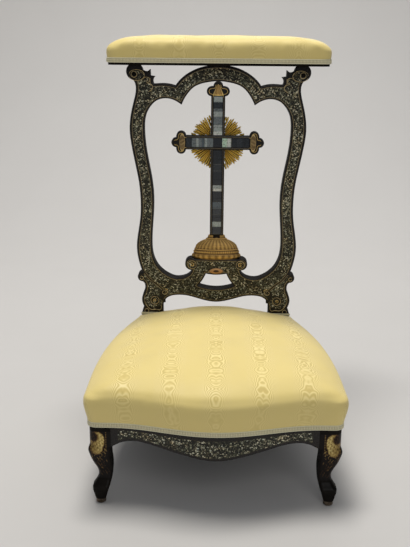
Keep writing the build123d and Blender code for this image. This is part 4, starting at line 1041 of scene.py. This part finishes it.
def seat_cushion():
    rings = [level(seat_plan(offset), z) for z, offset in SEAT_SIDES]
    for spot, row in zip(*between_rows(CROWN, 60)):
        plan = seat_plan(CROWN_OVERHANG + 3.7 * max(0, 1 - spot / 1.5), row)
        rings.append(level(plan, CREASE_Z + 0.8 + (CROWN_Z - CREASE_Z) * row[0]))
    grid = np.array(rings)
    relaxed(grid, 5, 16)
    for _ in range(24):
        ease = 0.5 * past(grid[..., 2:3], 211, 8)
        grid += ease * ((np.roll(grid, 1, 1) + np.roll(grid, -1, 1)) / 2 - grid)
    x, y, z = np.moveaxis(grid, -1, 0)
    # Slight lumps of the stuffing
    lump = 0.55 * np.sin(x / 31 + 1.3) * np.sin(y / 27 + 0.4) + 0.35 * np.sin(x / 13 + y / 17)
    lump += 0.25 * np.sin(y / 9 - x / 21 + 2)
    z += lump * past(z, TURN_Z, 20)
    pull = np.zeros(z.shape)
    for at, size in PULLS:
        near = np.exp(-((x - at) / 4.5) ** 2 - ((z - TURN_Z) / 12) ** 2)
        pull += size * near * (y < -180)
    z += 0.9 * pull
    y -= 0.6 * pull
    # The cloth's own place: down the sides it runs on outwards
    drop = np.clip(CREASE_Z + 8 - z, 0, None)
    plan = seat_plan(0)
    out = outward(plan - np.roll(plan, 1, 0))
    uv = np.stack([x + out[:, 0] * drop, y + out[:, 1] * drop], -1).reshape(-1, 2)
    flat, faces = rings_mesh(grid)
    count = len(flat)
    columns = grid.shape[1]
    last = count - columns
    faces += [(count, last + (c + 1) % columns, last + c) for c in range(columns)]
    points = np.r_[flat, [(0, SEAT_MIDDLE_Y, flat[last:, 2].mean())]]
    uv = np.r_[uv, [(0, SEAT_MIDDLE_Y)]]
    padded_piece("seat_cushion", points, faces, uv, ("seat_cover", "seat_stuffing"))


seat_cushion()


# Armrest pad
def round_rectangle(half_x, half_y, corner):
    """A rounded rectangle whose points keep their order and number at every size."""
    corner = max(1, min(corner, half_x - 1, half_y - 1))
    turn = np.radians(np.linspace(0, 90, 24))
    parts = []
    for cx, cy, first in ((1, -1, -90), (1, 1, 0), (-1, 1, 90), (-1, -1, 180)):
        angle = turn + math.radians(first)
        middle = np.array((cx * (half_x - corner), cy * (half_y - corner)))
        parts.append(middle + corner * np.c_[np.cos(angle), np.sin(angle)])
    loop = []
    for one, two, steps in zip(parts, parts[1:] + parts[:1], (14, 60, 14, 60)):
        share = np.linspace(0, 1, steps + 1)[1:-1, None]
        loop += [one, one[-1] + (two[0] - one[-1]) * share]
    return np.concatenate(loop)


def rest_plan(off_x, off_y, corner):
    """The armrest's outline with its half sizes changed by offsets."""
    return round_rectangle(REST_HALF_X + off_x, REST_HALF_Y + off_y, corner) + (0, REST_Y)


# Its sides: height and offset of each ring
REST_SIDES = (
    (782, -0.4), (778.4, 0.2), (778, 0.9), (778.2, 1.4), (783, 1.45), (788.5, 1.6), (791, 2.3), (794, 3),
    (797, 3.4), (800, 3.7),
)
# Rings of the crown: inset across and along in shares of half the depth, and part of the rise
ARM_CROWN = np.array([
    (0, 0, 0), (0.053, 0, 0.234), (0.15, 0.02, 0.428), (0.3, 0.075, 0.6), (0.5, 0.17, 0.745),
    (0.77, 0.31, 0.85), (1.08, 0.48, 0.92), (1.47, 0.65, 0.972), (1.87, 0.783, 1),
])
REST_OVERHANG = 3.9
REST_SIDE_SHARE = 0.43
REST_TURN_Z = 814


def armrest_pad():
    rings = [level(rest_plan(offset, offset, REST_CORNER + offset), z) for z, offset in REST_SIDES]
    side_top = REST_Z + (TOP_Z - REST_Z) * REST_SIDE_SHARE
    for inset_x, inset_y, rise in between_rows(ARM_CROWN, 40)[1]:
        off_x = REST_OVERHANG - inset_x * REST_HALF_Y
        off_y = REST_OVERHANG - inset_y * REST_HALF_Y
        plan = rest_plan(off_x, off_y, (REST_HALF_Y + off_y) * (0.42 + 0.1 * rise))
        rings.append(level(plan, side_top + (TOP_Z - side_top) * rise))
    grid = np.array(rings)
    relaxed(grid, 4, 9)
    x, y, z = np.moveaxis(grid, -1, 0)
    lump = 0.6 * np.sin(x / 27 + 0.6) * np.sin(y / 15) + 0.5 * np.sin(x / 12 + y / 19 + 1) * np.sin(x / 37)
    z += lump * past(z, REST_TURN_Z - 8, 16)
    # Puckers where the cloth turns over the long edge
    fold = 0.5 * np.sin(x / 5.3 + np.sin(x / 23) * 2) + 0.7 * np.sin(x / 9.7 + 2) * np.sin(x / 41 + 1)
    front = np.clip((190 - y) / 20, 0, 1) * bell(z - REST_TURN_Z, 9)
    z += 1.4 * fold * front
    y -= 1 * fold * front
    drop = np.clip(830 - z, 0, None)
    u = x + np.sign(x) * np.where(np.abs(x) > 225, drop, 0)
    v = y + np.where(y < REST_Y, -drop, drop)
    points, faces = rings_mesh(grid)
    faces.append(tuple(range(len(points) - grid.shape[1], len(points))))
    uv = np.stack([u, v], -1).reshape(-1, 2)
    padded_piece("armrest_pad", points, faces, uv, ("armrest_cover", "armrest_stuffing"))


armrest_pad()

# Braid, from an edge to its middle: share of the height, thickness, how far ribs stand out, tone as painted
# shade
BRAID = [
    (0, 0, 0, 0.2), (0, 0.8, 0, 0.4), (0.05, 1.5, 0.15, 0.9), (0.13, 1.6, 0.15, 1), (0.2, 0.9, 0.2, 0.3),
    (0.28, 1.25, 0.7, 0.6), (0.5, 1.5, 0.9, 0.75),
]
BRAID += [(1 - share, *rest) for share, *rest in BRAID[-2::-1]]
BRAID_PITCH = 2.9
RIB_POINTS = 5
BRAID_HIGH = 10
BRAID_OUT = 1.9
POST_BRAID_Z = 210.5
POST_BRAID_Y = 219


def ribbed_band(name, path, low, high=BRAID_HIGH, closed=False, stands_for=()):
    """Gimp along a path in plan: two cord edges and upright ribs between them."""
    loop = np.concatenate([path, path[:1]]) if closed else path
    length = np.linalg.norm(np.diff(loop, axis=0), axis=1).sum()
    ribs = max(2, round(length / BRAID_PITCH))
    run = resampled(path, ribs * RIB_POINTS + (0 if closed else 1), closed)
    out = outward(ahead_of(run, closed))
    wave = 0.5 + 0.5 * np.cos(np.arange(len(run)) * math.tau / RIB_POINTS)
    jitter = 0.12 * rng.standard_normal(len(run))
    rows = []
    heights = []
    for share, base, rib, tone in BRAID:
        move = base + rib * (wave - 0.5) * 1.2 + (jitter * 0.4 if 0 < base else 0)
        rows.append(level(run + out * move[:, None], low + high * share))
        # Painted shade in the valleys between the ribs, painted highlight on their crests
        rib_shade = 0.3 + 0.85 * wave if rib > 0.3 else 0.8 + 0.2 * wave
        heights.append(np.clip(tone * rib_shade + 0.06 * rng.standard_normal(len(run)), 0, 1))
    grid = np.array(rows).transpose(1, 0, 2)
    count, across = grid.shape[:2]
    faces = grid_faces(count, across)
    if closed:
        last = (count - 1) * across
        faces += [(last + k, last + k + 1, k + 1, k) for k in range(across - 1)]
    piece(name, grid.reshape(-1, 3), faces, braid, "cream_braid", stands_for=stands_for,
          height=np.array(heights).T.ravel())


plan = seat_plan(BRAID_OUT)
right = plan[: len(plan) // 2 + 1]
right = right[: int(np.argmax(right[:, 1] > POST_BRAID_Y))]
ribbed_band("seat_gimp", np.concatenate([right[:0:-1] * (-1, 1), right]), CLOTH_Z, stands_for=["seat_braid"])
rear_y = SEAT_REAR_Y + BRAID_OUT
ribbed_band("seat_gimp_rear", np.array([(121, rear_y), (-121, rear_y)]), CLOTH_Z)
ends = np.array([(122, POST_BRAID_Y), (172.5, POST_BRAID_Y)])
ribbed_band("post_gimp_right", ends, POST_BRAID_Z, 4.5)
ribbed_band("post_gimp_left", ends[::-1] * (-1, 1), POST_BRAID_Z, 4.5)
ribbed_band("armrest_gimp", rest_plan(BRAID_OUT, BRAID_OUT, REST_CORNER + BRAID_OUT), REST_Z, closed=True,
            stands_for=["armrest_braid"])


# Bottom cloth
def bottom_sheet():
    """Black cotton stretched under the seat: a folded hem, and a middle that hangs a little."""
    low = min(v.co.z for v in nodes["bottom_cloth"].data.vertices) / MM
    region = face_outline("bottom_cloth", low, axis=2)
    points, faces = plate_points(region, 7)
    to_edge = to_segments(points, region)
    sag = 4 * (1 - bell(to_edge, 70)) + 0.5 * np.clip((11 - to_edge) / 2, 0, 1)
    made = piece("bottom_sheet", np.c_[points, low - sag], faces, black_cloth, "black_cotton",
                 stands_for=["bottom_cloth"])


bottom_sheet()

# Apron inlay: how deep the front rail is from its middle to the leg, in shares
APRON = [
    (-0.11, 0.975), (0, 1), (0.11, 0.975), (0.22, 0.9), (0.32, 0.825), (0.43, 0.735), (0.535, 0.65),
    (0.64, 0.57), (0.735, 0.52), (0.8, 0.53), (0.855, 0.565), (0.91, 0.635), (0.96, 0.74), (1, 0.83),
]
APRON_HALF_X = 187.5
APRON_DEPTH = 47
APRON_ROWS = 34
APRON_BAND_HALF_X = 187
APRON_LEG_X = 175
shape = smooth_path(APRON, 400)
shape = shape[np.argsort(shape[:, 0])]
columns = np.arange(0.1 - APRON_HALF_X, APRON_HALF_X, 1.5)
bottom = CLOTH_Z - APRON_DEPTH * np.interp(np.abs(columns) / APRON_HALF_X, shape[:, 0], shape[:, 1])
x = np.repeat(columns, APRON_ROWS)
z = np.linspace(bottom, CLOTH_Z - 0.2, APRON_ROWS).T.ravel()
to_low = to_segments(np.c_[x, z], segments_of(np.c_[columns, bottom])[:-1])
top_band = 4 + 3.5 * np.cos(math.pi / 2 * np.minimum(1, np.abs(x) / APRON_BAND_HALF_X)) ** 2
to_top = CLOTH_Z - z - top_band + 3
to_leg = (APRON_LEG_X - np.abs(x)) * 0.8 + 3
edge = np.minimum(np.minimum(to_low - 2, to_top), np.maximum(to_leg, 0))
y = np.array([front_at(at) for at in x]) - 0.15 - swell(to_low, 4, 1.4)
piece("apron_inlay", np.c_[x, y, z], grid_faces(len(columns), APRON_ROWS), apron_pearl, "mother_of_pearl",
      edge=edge, dark=np.zeros(len(x)))

# Gilt shells painted on the knees
KNEE_Z = 130
KNEE_X = 212
KNEE_LEAN = 0.14
KNEE_LEAN_Z = 97
KNEE_ROWS = np.linspace(48, 146, 150)
KNEE_COLUMNS = 64
KNEE_LOOKED_AT = np.arange(183, 232, 0.5)


def shell_height(out, up):
    """How bright the gilding is at a place on the knee, out from its middle towards the corner, and up."""
    reach = np.hypot((out - 1.5) / 16, up / np.where(up > 0, 17.5, 33))
    from_eye = np.hypot(out - 6.5, 0.85 * (up - 5))
    angle = np.arctan2(up - 5, out - 6.5)
    lines = 0.5 + 0.5 * np.cos(angle * 24 + 1.2 * np.sin(from_eye * 0.9))
    shell = np.clip((from_eye - 4.5) / 5, 0.3, 1) * np.clip((1 - reach) / 0.22, 0, 1)
    patchy = 0.8 + 0.2 * np.sin(out * 0.9 + up * 0.31) * np.sin(up * 0.47 - out * 0.2)
    height = np.clip(0.8 - 0.02 * out, 0.2, 1) * (0.72 + 0.28 * lines) * shell * patchy
    rim = bell(out + 15.5, 1.3) * (0.5 + 0.5 * np.sin(up * 1.9))
    rim *= np.clip((22 - np.abs(up + 3)) / 6, 0, 1)
    strokes = np.zeros(len(out))
    local = np.random.default_rng(5)
    for _ in range(90):
        middle_out = local.uniform(-15, 14)
        middle_up = -18 - 56 * local.random() ** 1.3
        lean = local.uniform(0.7, 2.3)
        length = local.uniform(1.6, 4.5)
        strength = local.uniform(0.25, 0.7) * (1 + (middle_up + 18) / 110)
        along = (out - middle_out) * math.cos(lean) + (up - middle_up) * math.sin(lean)
        aside = (out - middle_out) * math.sin(lean) - (up - middle_up) * math.cos(lean)
        strokes = np.maximum(strokes, strength * np.exp(-(aside / 0.5) ** 2 - (along / length) ** 4))
    return np.clip(np.maximum(height, np.maximum(strokes, 0.55 * rim)), 0, 1)


def knee_shell(side, leg, name):
    """Gilding that lies on the front of the leg, from the rail down to its middle."""
    mesh = nodes[leg].data
    faces = [tuple(polygon.vertices) for polygon in mesh.polygons]
    tree = BVHTree.FromPolygons([v.co.copy() for v in mesh.vertices], faces)
    places = []
    outs = []
    for z in KNEE_ROWS:
        hits = []
        for x in KNEE_LOOKED_AT:
            hit, normal, _, _ = tree.ray_cast(Vector((side * x * MM, -0.4, z * MM)), Vector((0, 1, 0)))
            if hit and normal.y < -0.25:
                hits.append((x, hit.y / MM))
        hits = np.array(hits)
        xs = np.linspace(hits[0, 0], hits[-1, 0], KNEE_COLUMNS)
        ys = np.interp(xs, hits[:, 0], hits[:, 1])
        places.append(np.c_[side * xs, ys - 0.25, np.full(KNEE_COLUMNS, z)])
        outs.append(xs - KNEE_X + KNEE_LEAN * max(0, KNEE_LEAN_Z - z))
    height = shell_height(np.concatenate(outs), np.repeat(KNEE_ROWS - KNEE_Z, KNEE_COLUMNS))
    piece(name, np.concatenate(places), grid_faces(len(KNEE_ROWS), KNEE_COLUMNS), shell_gilding, "gilding",
          height=height)


knee_shell(1, "right_front_leg", "right_knee_shell")
knee_shell(-1, "left_front_leg", "left_knee_shell")


# Stage, light and camera
def cove():
    """Pale floor that curves up into a wall behind the chair."""
    profile = [(-5.0, 0.0), (-2.0, 0.0), (0.0, 0.0), (1.4, 0.0)]
    profile += [(1.4 + 1.2 * math.sin(a), 1.2 - 1.2 * math.cos(a)) for a in np.radians(np.arange(5, 91, 5))]
    profile += [(2.6, 2.5), (2.6, 5.0)]
    mesh = bpy.data.meshes.new("cove")
    mesh.from_pydata([(x, y, z) for y, z in profile for x in (-6.0, 6.0)], [],
                     [(2 * i, 2 * i + 1, 2 * i + 3, 2 * i + 2) for i in range(len(profile) - 1)])
    mesh.polygons.foreach_set("use_smooth", [True] * len(mesh.polygons))
    s = Shade("cove_paper", Roughness=0.9, Specular_IOR_Level=0.2)
    paper = s.ramp(s.noise(0.004, detail=2), [(0.3, (0.57, 0.56, 0.55)), (0.7, (0.58, 0.57, 0.56))])
    mesh.materials.append(s.finish(paper))
    place_in_scene("cove", mesh)


def studio_world():
    """Even light that is dim on the chair and pale where the camera looks past the stage."""
    world = bpy.data.worlds.new("studio")
    bpy.context.scene.world = world
    world.use_nodes = True
    tree = world.node_tree
    tree.nodes.clear()
    lit = add_node(tree, "Background", Color=(0.9, 0.94, 1.0, 1), Strength=0.19)
    seen = add_node(tree, "Background", Color=(0.8, 0.79, 0.78, 1), Strength=1.0)
    rays = add_node(tree, "LightPath").outputs
    either = add_node(tree, "Math", {"operation": "MAXIMUM"})
    blend = add_node(tree, "MixShader")
    for socket, source in (
        (either.inputs[0], rays["Is Camera Ray"]), (either.inputs[1], rays["Is Transmission Ray"]),
        (blend.inputs[0], either.outputs[0]), (blend.inputs[1], lit.outputs[0]),
        (blend.inputs[2], seen.outputs[0]), (add_node(tree, "OutputWorld").inputs[0], blend.outputs[0]),
    ):
        feed(tree, socket, source)


def lamp(name, place, target, size, watts, colour=(1, 1, 1)):
    data = bpy.data.lights.new(name, "AREA")
    data.shape = "RECTANGLE"
    data.size, data.size_y = size
    data.energy = watts
    data.color = colour
    made = place_in_scene(name, data)
    made.location = place
    made.rotation_euler = (Vector(target) - Vector(place)).to_track_quat("-Z", "Y").to_euler()


cove()
studio_world()
lamp("key", (-0.35, 0.25, 4.35), (0, 0, 0.3), (2.0, 1.0), 150, (1.0, 0.97, 0.92))
lamp("fill", (0.6, -2.7, 2.0), (0, 0, 0.4), (1.8, 1.6), 15, (1.0, 0.99, 0.98))
lamp("rim", (0.3, 2.2, 2.0), (0, 0.2, 0.4), (2.0, 1.0), 12)

# The camera was solved from the photograph: its place, its turns and its lens
data = bpy.data.cameras.new("camera")
data.lens = 53.255
data.sensor_width = 36
data.clip_start = 0.01
camera = place_in_scene("camera", data)
camera.location = (-0.00924, -1.57085, 0.80817)
camera.rotation_euler = [math.radians(a) for a in (74.43, -0.486, 0.652)]
bpy.context.scene.camera = camera
bpy.context.scene.view_settings.view_transform = "Standard"
